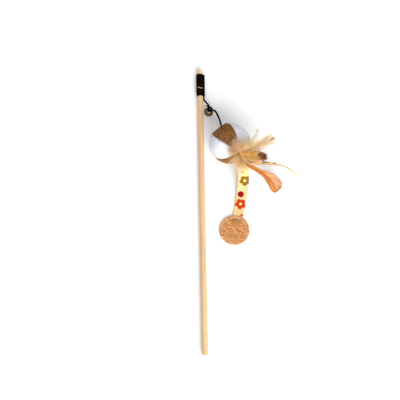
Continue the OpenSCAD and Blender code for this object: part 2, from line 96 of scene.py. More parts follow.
def eased(values: Array, low: float = 0.0, high: float = 1.0) -> Array:
    """Rise from 0 where a value is low to 1 where it is high, along t squared times (3 - 2 t)."""
    t = np.clip((values - low) / (high - low), 0.0, 1.0)
    return t * t * (3.0 - 2.0 * t)


def travelled(path: Array) -> Array:
    """Distance along a path, or along each of many, at each of its points, from 0."""
    steps = np.linalg.norm(np.diff(path, axis=-2), axis=-1)
    return np.concatenate([np.zeros(steps.shape[:-1] + (1,)), np.cumsum(steps, axis=-1)], axis=-1)


def resampled(path: Array, count: int) -> Array:
    """The same path with its points at equal steps of distance.

    Args:
        path: points, shape (n, 3).
        count: how many points to return.

    Returns:
        Points, shape (count, 3).
    """
    at = travelled(path)
    wanted = np.linspace(0.0, at[-1], count)
    return np.stack([np.interp(wanted, at, path[:, k]) for k in range(3)], axis=1)


def smooth_path(points: Array, count: int, start: Array | None = None, end: Array | None = None) -> Array:
    """Cubic curve through points, whose slope at each point is that between its neighbours.

    Between two points the curve is the sum of both points and both slopes, each weighted by a
    cubic of the share of the way covered.

    Args:
        points: places to pass through, shape (n, 3).
        count: how many points to return, at equal steps.
        start: direction at the first point, where it is known.
        end: direction at the last point, where it is known.

    Returns:
        Points, shape (count, 3).
    """
    p = np.asarray(points, float)
    at = travelled(p)
    slope = np.gradient(p, at, axis=0)
    if start is not None:
        slope[0] = unit(start)
    if end is not None:
        slope[-1] = unit(end)
    fine = np.linspace(0.0, at[-1], 30 * len(p))
    i = np.clip(np.searchsorted(at, fine, side="right") - 1, 0, len(p) - 2)
    h = (at[i + 1] - at[i])[:, None]
    t = ((fine - at[i]) / h[:, 0])[:, None]
    curve = (
        (2 * t**3 - 3 * t**2 + 1) * p[i]
        + (t**3 - 2 * t**2 + t) * h * slope[i]
        + (3 * t**2 - 2 * t**3) * p[i + 1]
        + (t**3 - t**2) * h * slope[i + 1]
    )
    return resampled(curve, count)


def carried_side(path: Array, reference: Array) -> Array:
    """A direction square to a path at each point, turned no more than the path makes it.

    Each is the one before it with the part that lies along the path taken out.

    Args:
        path: points, shape (n, 3).
        reference: rough direction of the first one.

    Returns:
        Unit vectors, shape (n, 3).
    """
    along = unit(np.gradient(path, axis=0))
    first = unit(reference - np.dot(reference, along[0]) * along[0])
    sides = accumulate(along[1:], lambda side, t: unit(side - np.dot(side, t) * t), initial=first)
    return np.array(list(sides))


def lumps(points: Array, size: float, seed: int) -> Array:
    """Smooth random bumps: the mean of plane waves whose directions and phases are random.

    Args:
        points: places, shape (..., 3).
        size: rough distance between bumps.
        seed: start of the random numbers.

    Returns:
        Values that lie mostly between -1 and 1, shape (...).
    """
    waves, evened = 20, 0.6
    rng = np.random.default_rng(seed)
    direction = unit(rng.normal(size=(waves, 3))) * (2 * pi / size) * rng.uniform(0.6, 1.5, (waves, 1))
    phase = rng.uniform(0, 2 * pi, waves)
    return np.sin(points @ direction.T + phase).sum(axis=-1) / np.sqrt(waves / 2) * evened


def from_pole(polar: Array, azimuth: Array) -> Array:
    """Directions at an angle from the Z axis and one round it, both in radians.

    They are sin(polar) cos(azimuth), sin(polar) sin(azimuth) and cos(polar).

    Args:
        polar: angles from Z.
        azimuth: angles round Z, which spread over the same shape.

    Returns:
        Unit vectors, shape (..., 3).
    """
    polar, azimuth = np.broadcast_arrays(polar, azimuth)
    level = np.sin(polar)
    return np.stack([level * np.cos(azimuth), level * np.sin(azimuth), np.cos(polar)], axis=-1)


def kept_above(paths: Array, height: float) -> Array:
    """Lift what lies lower than a height over the floor up to it, in the array itself.

    Args:
        paths: points, shape (..., 3).
        height: least height over the floor.

    Returns:
        The same array.
    """
    paths[..., 2] = np.maximum(paths[..., 2], LAYOUT.floor + height)
    return paths


def linear(red: float, green: float, blue: float) -> Colour:
    """A colour of 0 to 255 per channel, as the linear values that a shader takes.

    Args:
        red: display value of red.
        green: display value of green.
        blue: display value of blue.

    Returns:
        Linear red, green, blue and an alpha of 1.
    """
    c = np.array([red, green, blue]) / 255.0
    c = np.where(c <= 0.04045, c / 12.92, ((c + 0.055) / 1.055) ** 2.4)
    return (float(c[0]), float(c[1]), float(c[2]), 1.0)


def painted(red: float, green: float, blue: float) -> Array:
    """A colour of 0 to 255 per channel, as the three linear values that a piece's paint holds."""
    return np.array(linear(red, green, blue)[:3])


# Surfaces


@dataclass
class Patch:
    """Points and faces of a part of a piece, with the place of each face corner on the surface."""

    points: Array
    faces: list[Array]
    corners: list[Array]
    dye: Array | None = None

    def outward(self) -> "Patch":
        """Turn the faces round if the volume that they close comes out negative.

        Returns:
            This patch.
        """
        total = 0.0
        for block in self.faces:
            p = self.points[block]
            for k in range(1, block.shape[1] - 1):
                total += np.einsum("ij,ij->i", p[:, 0], np.cross(p[:, k], p[:, k + 1])).sum()
        if total < 0:
            self.faces = [block[:, ::-1] for block in self.faces]
            self.corners = [block[:, ::-1] for block in self.corners]
        return self


def side_faces(number: Array, length: Array, turn: Array) -> tuple[Array, Array]:
    """Quads between neighbouring closed rings of points.

    Args:
        number: numbers of the points, shape (..., rings, points in a ring).
        length: first surface coordinate, one per ring.
        turn: second surface coordinate, one per point of a ring and one more for the last edge.

    Returns:
        The quads and the surface coordinates of their corners.
    """
    after = np.roll(number, -1, axis=-1)
    near, far = (..., slice(None, -1), slice(None)), (..., slice(1, None), slice(None))
    quads = np.stack([number[near], after[near], after[far], number[far]], axis=-1).reshape(-1, 4)
    shape = number[near].shape
    u0, u1 = np.broadcast_to(length[..., :-1, None], shape), np.broadcast_to(length[..., 1:, None], shape)
    v0, v1 = np.broadcast_to(turn[:-1], shape), np.broadcast_to(turn[1:], shape)
    corners = [np.stack(pair, -1) for pair in ((u0, v0), (u0, v1), (u1, v1), (u1, v0))]
    return quads, np.stack(corners, axis=-2).reshape(-1, 4, 2)


def strands(
    paths: Array,
    across: Array,
    width: Array | float,
    depth: Array | float,
    sides: int = 6,
    squareness: float = 1.0,
    dye: Array | None = None,
) -> Patch:
    """Closed tubes along many paths at once.

    A ring lies round each path point: its points are cos(a) times the half width across, plus
    sin(a) times the half depth in the direction square to both the path and across.

    Args:
        paths: centre lines, shape (strands, points, 3).
        across: rough width directions, any shape that spreads over the paths.
        width: half widths, which spread over (strands, points).
        depth: half depths, which spread over (strands, points).
        sides: points in a ring.
        squareness: power that the cosine and sine are raised to; below 1 squares the ring.
        dye: colours, which spread over (strands, points, 3).

    Returns:
        The patch, whose corners hold the distance along the strand and the share of a turn.
    """
    count, rings, _ = paths.shape
    along = unit(np.gradient(paths, axis=1))
    side = np.broadcast_to(across, paths.shape)
    side = unit(side - (side * along).sum(-1, keepdims=True) * along)
    up = np.cross(along, side)
    angle = 2 * pi * np.arange(sides) / sides
    c, s = np.cos(angle), np.sin(angle)
    c, s = np.sign(c) * np.abs(c) ** squareness, np.sign(s) * np.abs(s) ** squareness
    w = np.broadcast_to(width, (count, rings))[:, :, None, None]
    d = np.broadcast_to(depth, (count, rings))[:, :, None, None]
    points = (
        paths[:, :, None]
        + w * c[None, None, :, None] * side[:, :, None]
        + d * s[None, None, :, None] * up[:, :, None]
    )
    number = np.arange(count * rings * sides).reshape(count, rings, sides)
    length = travelled(paths)
    quads, corner = side_faces(number, length, np.arange(sides + 1) / sides)
    start, end = number[:, 0, ::-1], number[:, -1]
    start_uv, end_uv = np.zeros((count, sides, 2)), np.zeros((count, sides, 2))
    end_uv[..., 0] = length[:, -1:]
    if dye is not None:
        dye = np.broadcast_to(np.asarray(dye, float)[:, :, None, :], (count, rings, sides, 3)).reshape(-1, 3)
    return Patch(points.reshape(-1, 3), [quads, start, end], [corner, start_uv, end_uv], dye)


def curling(
    rng: np.random.Generator, base: Array, lean: Array, length: Array, points: int, curl: float = 0.4
) -> Array:
    """Lines of fibres: base + length times (t lean + curl t squared times a random direction).

    Args:
        rng: source of random numbers.
        base: where each fibre springs, shape (count, 3).
        lean: direction in which each starts, shape (count, 3).
        length: length of each, shape (count, 1, 1).
        points: how many points a line has.
        curl: share of the length by which its end is carried aside.

    Returns:
        Lines, shape (count, points, 3).
    """
    t = np.linspace(0, 1, points)[None, :, None]
    aside = unit(rng.normal(size=base.shape))
    return base[:, None] + length * (t * lean[:, None] + curl * t**2 * aside[:, None])


def fibres(
    paths: Array, radius: float, loss: float, across: Sequence[float], dye: Array | None = None
) -> Patch:
    """Three-sided hairs along many paths, whose radius falls by a share towards the tip.

    Args:
        paths: centre lines, shape (count, points, 3).
        radius: radius at the root.
        loss: share of it that is lost at the tip.
        across: rough width direction.
        dye: colours, which spread over (count, points, 3).

    Returns:
        The patch.
    """
    count, points, _ = paths.shape
    thick = radius * (1 - loss * np.linspace(0, 1, points)) * np.ones((count, 1))
    return strands(paths, np.array(across), thick, thick, 3, dye=dye)


def tube(path: Array, radius: Array | float, sides: int, reference: Array, dye: Array | None = None) -> Patch:
    """One closed round tube along a path.

    Args:
        path: centre line, shape (n, 3).
        radius: one radius, or one per point.
        sides: points in a ring.
        reference: rough direction of the first point of the first ring.
        dye: one colour, or one per point.

    Returns:
        The patch.
    """
    side = carried_side(path, reference)[None]
    r = np.broadcast_to(radius, (1, len(path)))
    colour = None if dye is None else np.broadcast_to(dye, (len(path), 3))[None]
    return strands(path[None], side, r, r, sides, dye=colour)


def plied(path: Array, radius: float, plies: int, lay: float, sides: int, reference: Array) -> Patch:
    """A tube with the rounded ridges of twisted plies.

    The radius is r times (1 + ridge cos(plies times (angle + turns of the twist))).

    Args:
        path: centre line, shape (n, 3).
        radius: mean radius.
        plies: how many yarns are twisted together.
        lay: length of a full turn of the twist.
        sides: points in a ring.
        reference: rough direction of the first point of the first ring.

    Returns:
        The patch.
    """
    ridge = 0.13
    patch = tube(path, radius, sides, reference)
    rings = patch.points.reshape(len(path), sides, 3)
    angle = 2 * pi * np.arange(sides) / sides
    swell = 1 + ridge * np.cos(plies * (angle[None] + 2 * pi * travelled(path)[:, None] / lay))
    patch.points = (path[:, None] + (rings - path[:, None]) * swell[..., None]).reshape(-1, 3)
    return patch


def shell(sections: Array, along: Array, turn: Array) -> Patch:
    """Closed skin over sections that are themselves closed loops, with a flat face on each end.

    Args:
        sections: points, shape (rows, columns, 3), in which the last column meets the first.
        along: first surface coordinate, one per row.
        turn: second surface coordinate, one per column and one more for the last edge.

    Returns:
        The patch, turned outwards.
    """
    rows, columns, _ = sections.shape
    number = np.arange(rows * columns).reshape(rows, columns)
    quads, corner = side_faces(number, along, turn)
    end_uv = np.zeros((1, columns, 2))
    faces = [quads, number[:1, ::-1], number[-1:]]
    return Patch(sections.reshape(-1, 3), faces, [corner, end_uv, end_uv]).outward()


def spun(profile: Array, centre: Array, axes: Array, segments: int) -> Patch:
    """Surface of a profile turned round an axis: r cos(a) and r sin(a) across, and z along it.

    Args:
        profile: radius and height of each point from one pole to the other, shape (n, 2).
        centre: where the axis starts.
        axes: rows are the local X, Y and Z directions, of which Z is the axis.
        segments: points round the axis.

    Returns:
        The patch, turned outwards, with small flat faces at its poles.
    """
    angle = 2 * pi * np.arange(segments) / segments
    local = np.stack([
        profile[:, :1] * np.cos(angle),
        profile[:, :1] * np.sin(angle),
        np.broadcast_to(profile[:, 1:], (len(profile), segments)),
    ], axis=-1)
    return shell(centre + local @ axes, travelled(np.c_[profile, profile[:, :1] * 0]),
                 np.arange(segments + 1) / segments)


# Node trees


class Graph:
    """Short calls that add nodes to one tree and join them."""

    def __init__(self, tree: bpy.types.NodeTree) -> None:
        """Keep the tree to work on, a material's or a group's."""
        self.tree = tree

    def add(self, kind: str, inputs: dict | None = None, **settings: object) -> bpy.types.Node:
        """Add a node.

        Args:
            kind: type of the node.
            inputs: values or sockets for its inputs, by name or number.
            **settings: the node's own properties.

        Returns:
            The new node.
        """
        node = self.tree.nodes.new(kind)
        for name, value in settings.items():
            setattr(node, name, value)
        self.fill(node, inputs or {})
        return node

    def fill(self, node: bpy.types.Node, inputs: dict) -> None:
        """Give a node's inputs values, or join sockets to them.

        Args:
            node: the node.
            inputs: values or sockets by the input's name or number.
        """
        for key, value in inputs.items():
            if isinstance(value, bpy.types.NodeSocket):
                self.tree.links.new(value, node.inputs[key])
            else:
                node.inputs[key].default_value = value

    def maths(self, operation: str, *values: object) -> bpy.types.NodeSocket:
        """Work out one number from others, by the name of the sum."""
        return self.add("ShaderNodeMath", dict(enumerate(values)), operation=operation).outputs[0]

    def times(self, *values: object) -> bpy.types.NodeSocket:
        """The product of two numbers."""
        return self.maths("MULTIPLY", *values)

    def plus(self, *values: object) -> bpy.types.NodeSocket:
        """The sum of two numbers."""
        return self.maths("ADD", *values)

    def minus(self, *values: object) -> bpy.types.NodeSocket:
        """The first number less the second."""
        return self.maths("SUBTRACT", *values)

    def ridges(self, value: object, rate: float) -> bpy.types.NodeSocket:
        """Rounded ridges: the sine of a number times a rate, without its sign."""
        return self.maths("ABSOLUTE", self.maths("SINE", self.times(value, rate)))

    def axes(self, vector: object) -> Sequence:
        """The three numbers of a vector."""
        return self.add("ShaderNodeSeparateXYZ", {0: vector}).outputs

    def seen(self) -> bpy.types.NodeSocket:
        """One for rays that show the surroundings: from the camera, off gloss and through glass."""
        ray = self.add("ShaderNodeLightPath").outputs
        bounced = self.maths("MAXIMUM", ray["Is Glossy Ray"], ray["Is Transmission Ray"])
        return self.maths("MAXIMUM", ray["Is Camera Ray"], bounced)

    def mix(self, share: object, first: object, second: object, blend: str = "MIX") -> bpy.types.NodeSocket:
        """Mix a share of the second colour into the first."""
        node = self.add("ShaderNodeMix", {0: share, 6: first, 7: second}, data_type="RGBA", blend_type=blend)
        return node.outputs[2]

    def rise(self, value: object, low: float, high: float) -> bpy.types.NodeSocket:
        """Rise smoothly from 0 where a number is low to 1 where it is high."""
        inputs = {0: value, 1: low, 2: high, 3: 0.0, 4: 1.0}
        return self.add("ShaderNodeMapRange", inputs, interpolation_type="SMOOTHSTEP").outputs[0]

    def noise(self, vector: object, scale: object, detail: float = 3.0) -> bpy.types.NodeSocket:
        """Smooth noise round 0.5, with its scale in bumps to a metre and finer layers by the detail."""
        inputs = {"Vector": vector, "Scale": scale, "Detail": detail, "Roughness": 0.6}
        return self.add("ShaderNodeTexNoise", inputs).outputs[0]

    def stretched(self, vector: object, scale: tuple[float, float, float]) -> bpy.types.NodeSocket:
        """Scale a place by a different amount along each axis."""
        return self.add("ShaderNodeMapping", {"Vector": vector, "Scale": scale}).outputs[0]


def new_group(name: str, takes: dict[str, tuple[str, float]], gives: Sequence[str]) -> tuple:
    """Start a shader node group.

    Args:
        name: name of the group.
        takes: type and default of each input by name.
        gives: names of its number outputs.

    Returns:
        The group's graph, the sockets that it is given and the node that takes its results.
    """
    tree = bpy.data.node_groups.new(name, "ShaderNodeTree")
    for label, (kind, default) in takes.items():
        socket = tree.interface.new_socket(name=label, in_out="INPUT", socket_type=kind)
        if kind == "NodeSocketFloat":
            socket.default_value = default
    for label in gives:
        tree.interface.new_socket(name=label, in_out="OUTPUT", socket_type="NodeSocketFloat")
    graph = Graph(tree)
    return graph, graph.add("NodeGroupInput").outputs, graph.add("NodeGroupOutput")


VECTOR = ("NodeSocketVector", 0.0)


def number(default: float) -> tuple[str, float]:
    """Type and default of a group's number input."""
    return "NodeSocketFloat", default


class Effects:
    """Shader node groups that several finishes share, each built once."""

    def __init__(self) -> None:
        """Build every group."""
        self.fibre = self._fibre()
        self.fleck = self._fleck()
        self.braid = self._braid()
        self.blossom = self._blossom()
        self.wear = self._wear()

    @staticmethod
    def _fibre() -> bpy.types.NodeTree:
        """Mottling and matted fibres: a coarse noise, and a fine one bent by another.

        Returns:
            The group, with Mask and Height.
        """
        g, given, result = new_group("fibre", {"Vector": VECTOR, "Scale": number(400.0)}, ("Mask", "Height"))
        scale = given["Scale"]
        bent = g.add("ShaderNodeTexNoise", {"Vector": given["Vector"], "Scale": scale, "Detail": 2.0})
        shift = g.add("ShaderNodeVectorMath", {0: bent.outputs["Color"], "Scale": 0.004}, operation="SCALE")
        place = g.add("ShaderNodeVectorMath", {0: given["Vector"], 1: shift.outputs[0]}, operation="ADD")
        fine = g.noise(place.outputs[0], g.times(scale, 5.0), 5.0)
        g.fill(result, {"Mask": g.rise(bent.outputs[0], 0.3, 0.7), "Height": fine})
        return g.tree

    @staticmethod
    def _fleck() -> bpy.types.NodeTree:
        """Scattered flecks: random cells, of which a share are shown near their centres.

        Returns:
            The group, with Mask.
        """
        takes = {"Vector": VECTOR, "Scale": number(900.0), "Share": number(0.3)}
        g, given, result = new_group("fleck", takes, ("Mask",))
        cells = g.add("ShaderNodeTexVoronoi", {"Vector": given["Vector"], "Scale": given["Scale"]})
        chance = g.add("ShaderNodeSeparateColor", {0: cells.outputs["Color"]}).outputs[0]
        near = g.minus(1.0, g.rise(cells.outputs["Distance"], 0.15, 0.5))
        shown = g.maths("LESS_THAN", chance, given["Share"])
        g.fill(result, {"Mask": g.times(near, shown)})
        return g.tree

    @staticmethod
    def _braid() -> bpy.types.NodeTree:
        """Crossing yarns of a braid: the higher of two sets of ridges that wind opposite ways.

        Returns:
            The group, with Height.
        """
        takes = {"Vector": VECTOR, "Pitch": number(0.002), "Yarns": number(5.0)}
        g, given, result = new_group("braid", takes, ("Height",))
        along, around, _ = g.axes(given["Vector"])
        down, round_ = g.maths("DIVIDE", along, given["Pitch"]), g.times(around, given["Yarns"])
        left, right = g.ridges(g.plus(down, round_), pi), g.ridges(g.minus(down, round_), pi)
        g.fill(result, {"Height": g.maths("MAXIMUM", left, right)})
        return g.tree

    @staticmethod
    def _blossom() -> bpy.types.NodeTree:
        """A simple flower: shown where the distance is less than radius times a petalled edge.

        Returns:
            The group, with Petals and Heart.
        """
        takes = {"Vector": VECTOR, "Across": number(0.0), "Along": number(0.0), "Radius": number(0.006),
                 "Count": number(5.0), "Notch": number(0.36)}
        g, given, result = new_group("blossom", takes, ("Petals", "Heart"))
        across, along, _ = g.axes(given["Vector"])
        x, y = g.minus(across, given["Across"]), g.minus(along, given["Along"])
        far = g.maths("SQRT", g.plus(g.times(x, x), g.times(y, y)))
        reach = g.maths("DIVIDE", far, given["Radius"])
        turn = g.times(g.maths("ARCTAN2", x, y), g.times(given["Count"], 0.5))
        round_ = g.maths("POWER", g.maths("ABSOLUTE", g.maths("COSINE", turn)), 0.55)
        edge = g.minus(1.0, g.times(given["Notch"], g.minus(1.0, round_)))
        heart = 0.27
        g.fill(result, {"Petals": g.rise(g.minus(edge, reach), -0.02, 0.05),
                        "Heart": g.rise(g.minus(heart, reach), -0.02, 0.05)})
        return g.tree

    @staticmethod
    def _wear() -> bpy.types.NodeTree:
        """Handling marks: patches of a coarse noise, broken up by fine scratches.

        Returns:
            The group, with Mask.
        """
        g, given, result = new_group("wear", {"Vector": VECTOR, "Scale": number(60.0)}, ("Mask",))
        patch = g.rise(g.noise(given["Vector"], given["Scale"], 4.0), 0.45, 0.7)
        fine = g.rise(g.noise(given["Vector"], g.times(given["Scale"], 12.0)), 0.4, 0.65)
        g.fill(result, {"Mask": g.times(patch, fine)})
        return g.tree


effects = Effects()


# Finishes


BLACK: Colour = (0.0, 0.0, 0.0, 1.0)
WHITE: Colour = (1.0, 1.0, 1.0, 1.0)
BUILT: dict[str, bpy.types.Material] = {}


@dataclass(frozen=True)
class Finish:
    """A material: its name and the plain values of its surface."""

    name: str
    colour: Colour
    roughness: float = 0.8
    gloss: float = 0.3
    metal: float = 0.0

    def material(self) -> bpy.types.Material:
        """Build the material, or return the one already built.

        Returns:
            The material.
        """
        if self.name in BUILT:
            return BUILT[self.name]
        made = BUILT[self.name] = bpy.data.materials.new(self.name)
        made.use_nodes = True
        made.diffuse_color = self.colour
        g, surface = Graph(made.node_tree), made.node_tree.nodes["Principled BSDF"]
        g.fill(surface, {"Base Color": self.colour, "Roughness": self.roughness, "Metallic": self.metal,
                         "Specular IOR Level": self.gloss})
        self.dress(g, surface)
        return made

    def dress(self, g: Graph, surface: bpy.types.Node) -> None:
        """Add what the finish has beyond its plain values.

        Args:
            g: graph of the material's tree.
            surface: its Principled node.
        """

    @staticmethod
    def group(g: Graph, tree: bpy.types.NodeTree, **inputs: object) -> Sequence:
        """Place a shared effect, with its inputs by name, and give its outputs."""
        return g.add("ShaderNodeGroup", inputs, node_tree=tree).outputs

    @staticmethod
    def relief(g: Graph, surface: bpy.types.Node, height: object, distance: float) -> None:
        """Raise the surface by a height from 0 to 1, times a distance in metres."""
        bump = g.add("ShaderNodeBump", {"Height": height, "Distance": distance, "Strength": 1.0})
        g.fill(surface, {"Normal": bump.outputs[0]})

    @staticmethod
    def place(g: Graph) -> bpy.types.NodeSocket:
        """Place on the object, in metres."""
        return g.add("ShaderNodeTexCoord").outputs["Object"]

    @staticmethod
    def on_surface(g: Graph) -> bpy.types.NodeSocket:
        """Place on the surface, from the piece's own map."""
        return g.add("ShaderNodeUVMap", uv_map="surface").outputs[0]


@dataclass(frozen=True)
class Wood(Finish):
    """Pale sanded wood whose grain runs along Y, darker on its cut ends from end grain and painted shade."""

    dark: Colour = BLACK
    end: Colour = BLACK

    def dress(self, g: Graph, surface: bpy.types.Node) -> None:
        """Add grain, pores, end grain with painted shade on the cut ends, and handling marks.

        Args:
            g: graph of the material's tree.
            surface: its Principled node.
        """
        place = self.place(g)
        grain = g.rise(g.noise(g.stretched(place, (420.0, 9.0, 420.0)), 1.0, 4.0), 0.35, 0.72)
        pores = g.rise(g.noise(g.stretched(place, (2600.0, 60.0, 2600.0)), 1.0, 2.0), 0.58, 0.72)
        broad = g.noise(g.stretched(place, (60.0, 6.0, 60.0)), 1.0, 2.0)
        colour = g.mix(g.times(grain, 0.55), self.colour, self.dark)
        colour = g.mix(g.times(pores, 0.35), colour, self.end)
        colour = g.mix(g.times(g.rise(broad, 0.4, 0.7), 0.3), colour, self.dark)
        # Cut end faces, whose normal runs along Y, are darkened: partly end grain, partly painted shade.
        normal = g.add("ShaderNodeNewGeometry").outputs["Normal"]
        across = g.maths("ABSOLUTE", g.axes(normal)[1])
        colour = g.mix(g.times(g.rise(across, 0.3, 0.8), 0.8), colour, self.end)
        marks = self.group(g, effects.wear, Vector=place, Scale=55.0)["Mask"]
        colour = g.mix(g.times(marks, 0.16), colour, self.end)
        g.fill(surface, {"Base Color": colour, "Roughness": g.plus(self.roughness, g.times(grain, 0.14))})
        self.relief(g, surface, g.minus(grain, g.times(pores, 0.8)), 0.00006)


@dataclass(frozen=True)
class Metal(Finish):
    """Bright metal that has dulled in patches."""

    worn: Colour = BLACK

    def dress(self, g: Graph, surface: bpy.types.Node) -> None:
        """Add tarnish and fine scratches.

        Args:
            g: graph of the material's tree.
            surface: its Principled node.
        """
        place = self.place(g)
        marks = self.group(g, effects.wear, Vector=place, Scale=260.0)["Mask"]
        g.fill(surface, {"Base Color": g.mix(marks, self.colour, self.worn),
                         "Roughness": g.plus(self.roughness, g.times(marks, 0.25))})
        self.relief(g, surface, g.noise(place, 2500.0), 0.00001)


@dataclass(frozen=True)
class Felt(Finish):
    """Matted wool with mottling and flecks of another shade."""

    shade: Colour = BLACK
    fleck: Colour = BLACK
    flecks: float = 0.3
    depth: float = 0.00022
    mottle: float = 0.35

    def dress(self, g: Graph, surface: bpy.types.Node) -> None:
        """Add mottling, flecks and the relief of the fibres.

        Args:
            g: graph of the material's tree.
            surface: its Principled node.
        """
        place = self.place(g)
        fibre = self.group(g, effects.fibre, Vector=place, Scale=420.0)
        coarse = g.rise(g.noise(place, 340.0, 2.0), 0.44, 0.57)
        fleck = self.group(g, effects.fleck, Vector=place, Scale=520.0, Share=self.flecks)["Mask"]
        colour = g.mix(g.times(fibre["Mask"], 0.3), self.colour, self.shade)
        colour = g.mix(g.times(coarse, self.mottle), colour, self.shade)
        g.fill(surface, {"Base Color": g.mix(g.times(fleck, 0.6), colour, self.fleck)})
        self.relief(g, surface, g.plus(fibre["Height"], g.times(fibre["Mask"], 0.5)), self.depth)


@dataclass(frozen=True)
class Twine(Finish):
    """Twisted yarn, seen as slanting fibres with painted shade in the grooves between them, and pale flecks.
    """

    fleck: Colour = BLACK
    flecks: float = 0.25
    lay: float = 0.0016

    def dress(self, g: Graph, surface: bpy.types.Node) -> None:
        """Add slanting fibres, painted shade in the grooves between them, and flecks.

        Args:
            g: graph of the material's tree.
            surface: its Principled node.
        """
        along, around, _ = g.axes(self.on_surface(g))
        yarns = g.ridges(g.plus(g.maths("DIVIDE", along, self.lay), around), 7 * pi)
        fleck = self.group(g, effects.fleck, Vector=self.place(g), Scale=1500.0, Share=self.flecks)["Mask"]
        # Painted shade: the grooves between the fibres are mixed towards black.
        colour = g.mix(yarns, g.mix(0.55, self.colour, BLACK), self.colour)
        g.fill(surface, {"Base Color": g.mix(g.times(fleck, 0.75), colour, self.fleck)})
        self.relief(g, surface, yarns, 0.00005)


@dataclass(frozen=True)
class Braid(Finish):
    """Braided sleeve over an elastic core."""

    painted_glint: Colour = BLACK

    def dress(self, g: Graph, surface: bpy.types.Node) -> None:
        """Add the crossing yarns, with a painted glint on their crowns.

        Args:
            g: graph of the material's tree.
            surface: its Principled node.
        """
        height = self.group(g, effects.braid, Vector=self.on_surface(g), Pitch=0.0016, Yarns=5.0)["Height"]
        # Painted glint: the crowns of the yarns are mixed towards a paler colour.
        g.fill(surface, {"Base Color": g.mix(g.rise(height, 0.75, 1.0), self.colour, self.painted_glint)})
        self.relief(g, surface, height, 0.00012)


@dataclass(frozen=True)
class Dyed(Finish):
    """A surface that takes its colour from the piece's own paint, with fine variation."""

    grain: float = 2200.0
    depth: float = 0.00004

    def dress(self, g: Graph, surface: bpy.types.Node) -> None:
        """Read the paint, and vary it.

        Args:
            g: graph of the material's tree.
            surface: its Principled node.
        """
        paint = g.add("ShaderNodeAttribute", attribute_name="dye").outputs["Color"]
        fibre = self.group(g, effects.fibre, Vector=self.place(g), Scale=self.grain)
        dark = g.mix(1.0, paint, (0.86, 0.82, 0.78, 1.0), "MULTIPLY")
        g.fill(surface, {"Base Color": g.mix(g.times(fibre["Mask"], 0.5), paint, dark)})
        self.relief(g, surface, fibre["Height"], self.depth)


@dataclass(frozen=True)
class Motif:
    """A printed flower or dot: its place on the tape, its size and its colours."""

    across: float
    along: float
    radius: float
    colour: Colour
    heart: Colour | None = None


@dataclass(frozen=True)
class Printed(Finish):
    """Tape with fine crosswise ribs, painted shade in the grooves between them, and a simple print of flowers
    and dots on its face.
    """

    motifs: tuple[Motif, ...] = ()
    rib: float = 0.0009
    thread: float = 0.0004

    def dress(self, g: Graph, surface: bpy.types.Node) -> None:
        """Add the ribs, painted shade in their grooves, and the print.

        Args:
            g: graph of the material's tree.
            surface: its Principled node.
        """
        place = self.on_surface(g)
        across, along, _ = g.axes(place)
        ribs, threads = g.ridges(along, pi / self.rib), g.ridges(across, pi / self.thread)
        # A warmer, darker tan: partly the tape's own tone, partly painted shade in the grooves between ribs.
        warm_tone_and_groove_shade = g.mix(0.35, self.colour, linear(225, 190, 130))
        colour = g.mix(g.times(g.rise(ribs, 0.0, 0.6), 0.5), warm_tone_and_groove_shade, self.colour)
        ink = g.plus(0.95, g.times(g.noise(self.place(g), 900.0), 0.1))
        for motif in self.motifs:
            flower = self.group(g, effects.blossom, Vector=place, Across=motif.across, Along=motif.along,
                                Radius=motif.radius, Notch=0.36 if motif.heart else 0.0)
            colour = g.mix(g.times(flower["Petals"], ink), colour, motif.colour)
            if motif.heart:
                colour = g.mix(flower["Heart"], colour, motif.heart)
        g.fill(surface, {"Base Color": colour})
        self.relief(g, surface, g.plus(ribs, g.times(threads, 0.25)), 0.00009)


class Finishes:
    """The finishes of this object's pieces."""

    rod = Wood("sanded_wood", linear(236, 200, 154), 0.5,
               dark=linear(214, 170, 120), end=linear(184, 130, 76))
    brass = Metal("worn_brass", linear(108, 92, 62), 0.2, metal=1.0, worn=linear(64, 50, 28))
    steel = Metal("plain_steel", linear(196, 192, 186), 0.28, metal=1.0, worn=linear(140, 134, 126))
    staple = Metal("staple_wire", linear(186, 164, 136), 0.42, metal=1.0, worn=linear(128, 102, 76))
    binding = Twine("binding_twine", linear(20, 10, 7), 0.95, 0.02, fleck=linear(84, 54, 36), flecks=0.16)
    # The cord's painted glint is a paler colour on the crowns of its yarns.
    cord = Braid("braided_cord", linear(7, 6, 6), 0.8, 0.02, painted_glint=linear(16, 15, 16))
    brown = Felt("mottled_felt", linear(166, 114, 68), 0.95, 0.1, shade=linear(98, 58, 30),
                 fleck=linear(198, 148, 98), flecks=0.3, depth=0.0004, mottle=0.7)
    white = Felt("pale_felt", linear(232, 232, 241), 0.95, 0.1, shade=linear(214, 215, 226),
                 fleck=linear(246, 246, 250), flecks=0.3)
    stuffing = Felt("soft_fibre", linear(226, 219, 206), 0.95, shade=linear(198, 190, 176),
                    fleck=linear(238, 233, 224))
    padding = Felt("felted_pad", linear(168, 124, 78), 0.95, shade=linear(126, 88, 52),
                   fleck=linear(190, 148, 100))
    thread = Twine("cream_thread", linear(236, 224, 200), 0.75, 0.15, fleck=linear(250, 244, 230), lay=0.0012)
    feather = Dyed("feather", linear(190, 120, 70), 0.6, 0.25)
    jute = Dyed("jute_yarn", linear(196, 140, 86), 0.9, 0.1, grain=1400.0, depth=0.00008)
    ribbon = Printed("printed_tape", linear(245, 214, 160), 0.7, 0.08, motifs=(
        Motif(0.0020, 0.0292, 0.0017, linear(222, 104, 40)),
        Motif(-0.0020, 0.0430, 0.0080, linear(142, 108, 4), linear(245, 222, 168)),
        Motif(0.0015, 0.0631, 0.0044, linear(152, 0, 8)),
        Motif(-0.0002, 0.0767, 0.0078, linear(206, 58, 10), linear(245, 222, 168)),
        Motif(-0.0050, 0.0922, 0.0019, linear(210, 84, 30)),
    ))


# Pieces


def add_object(name: str, data: bpy.types.ID) -> bpy.types.Object:
    """Make an object that shows a mesh, lamp or camera, and put it in the scene."""
    made = bpy.data.objects.new(name, data)
    bpy.context.scene.collection.objects.link(made)
    return made


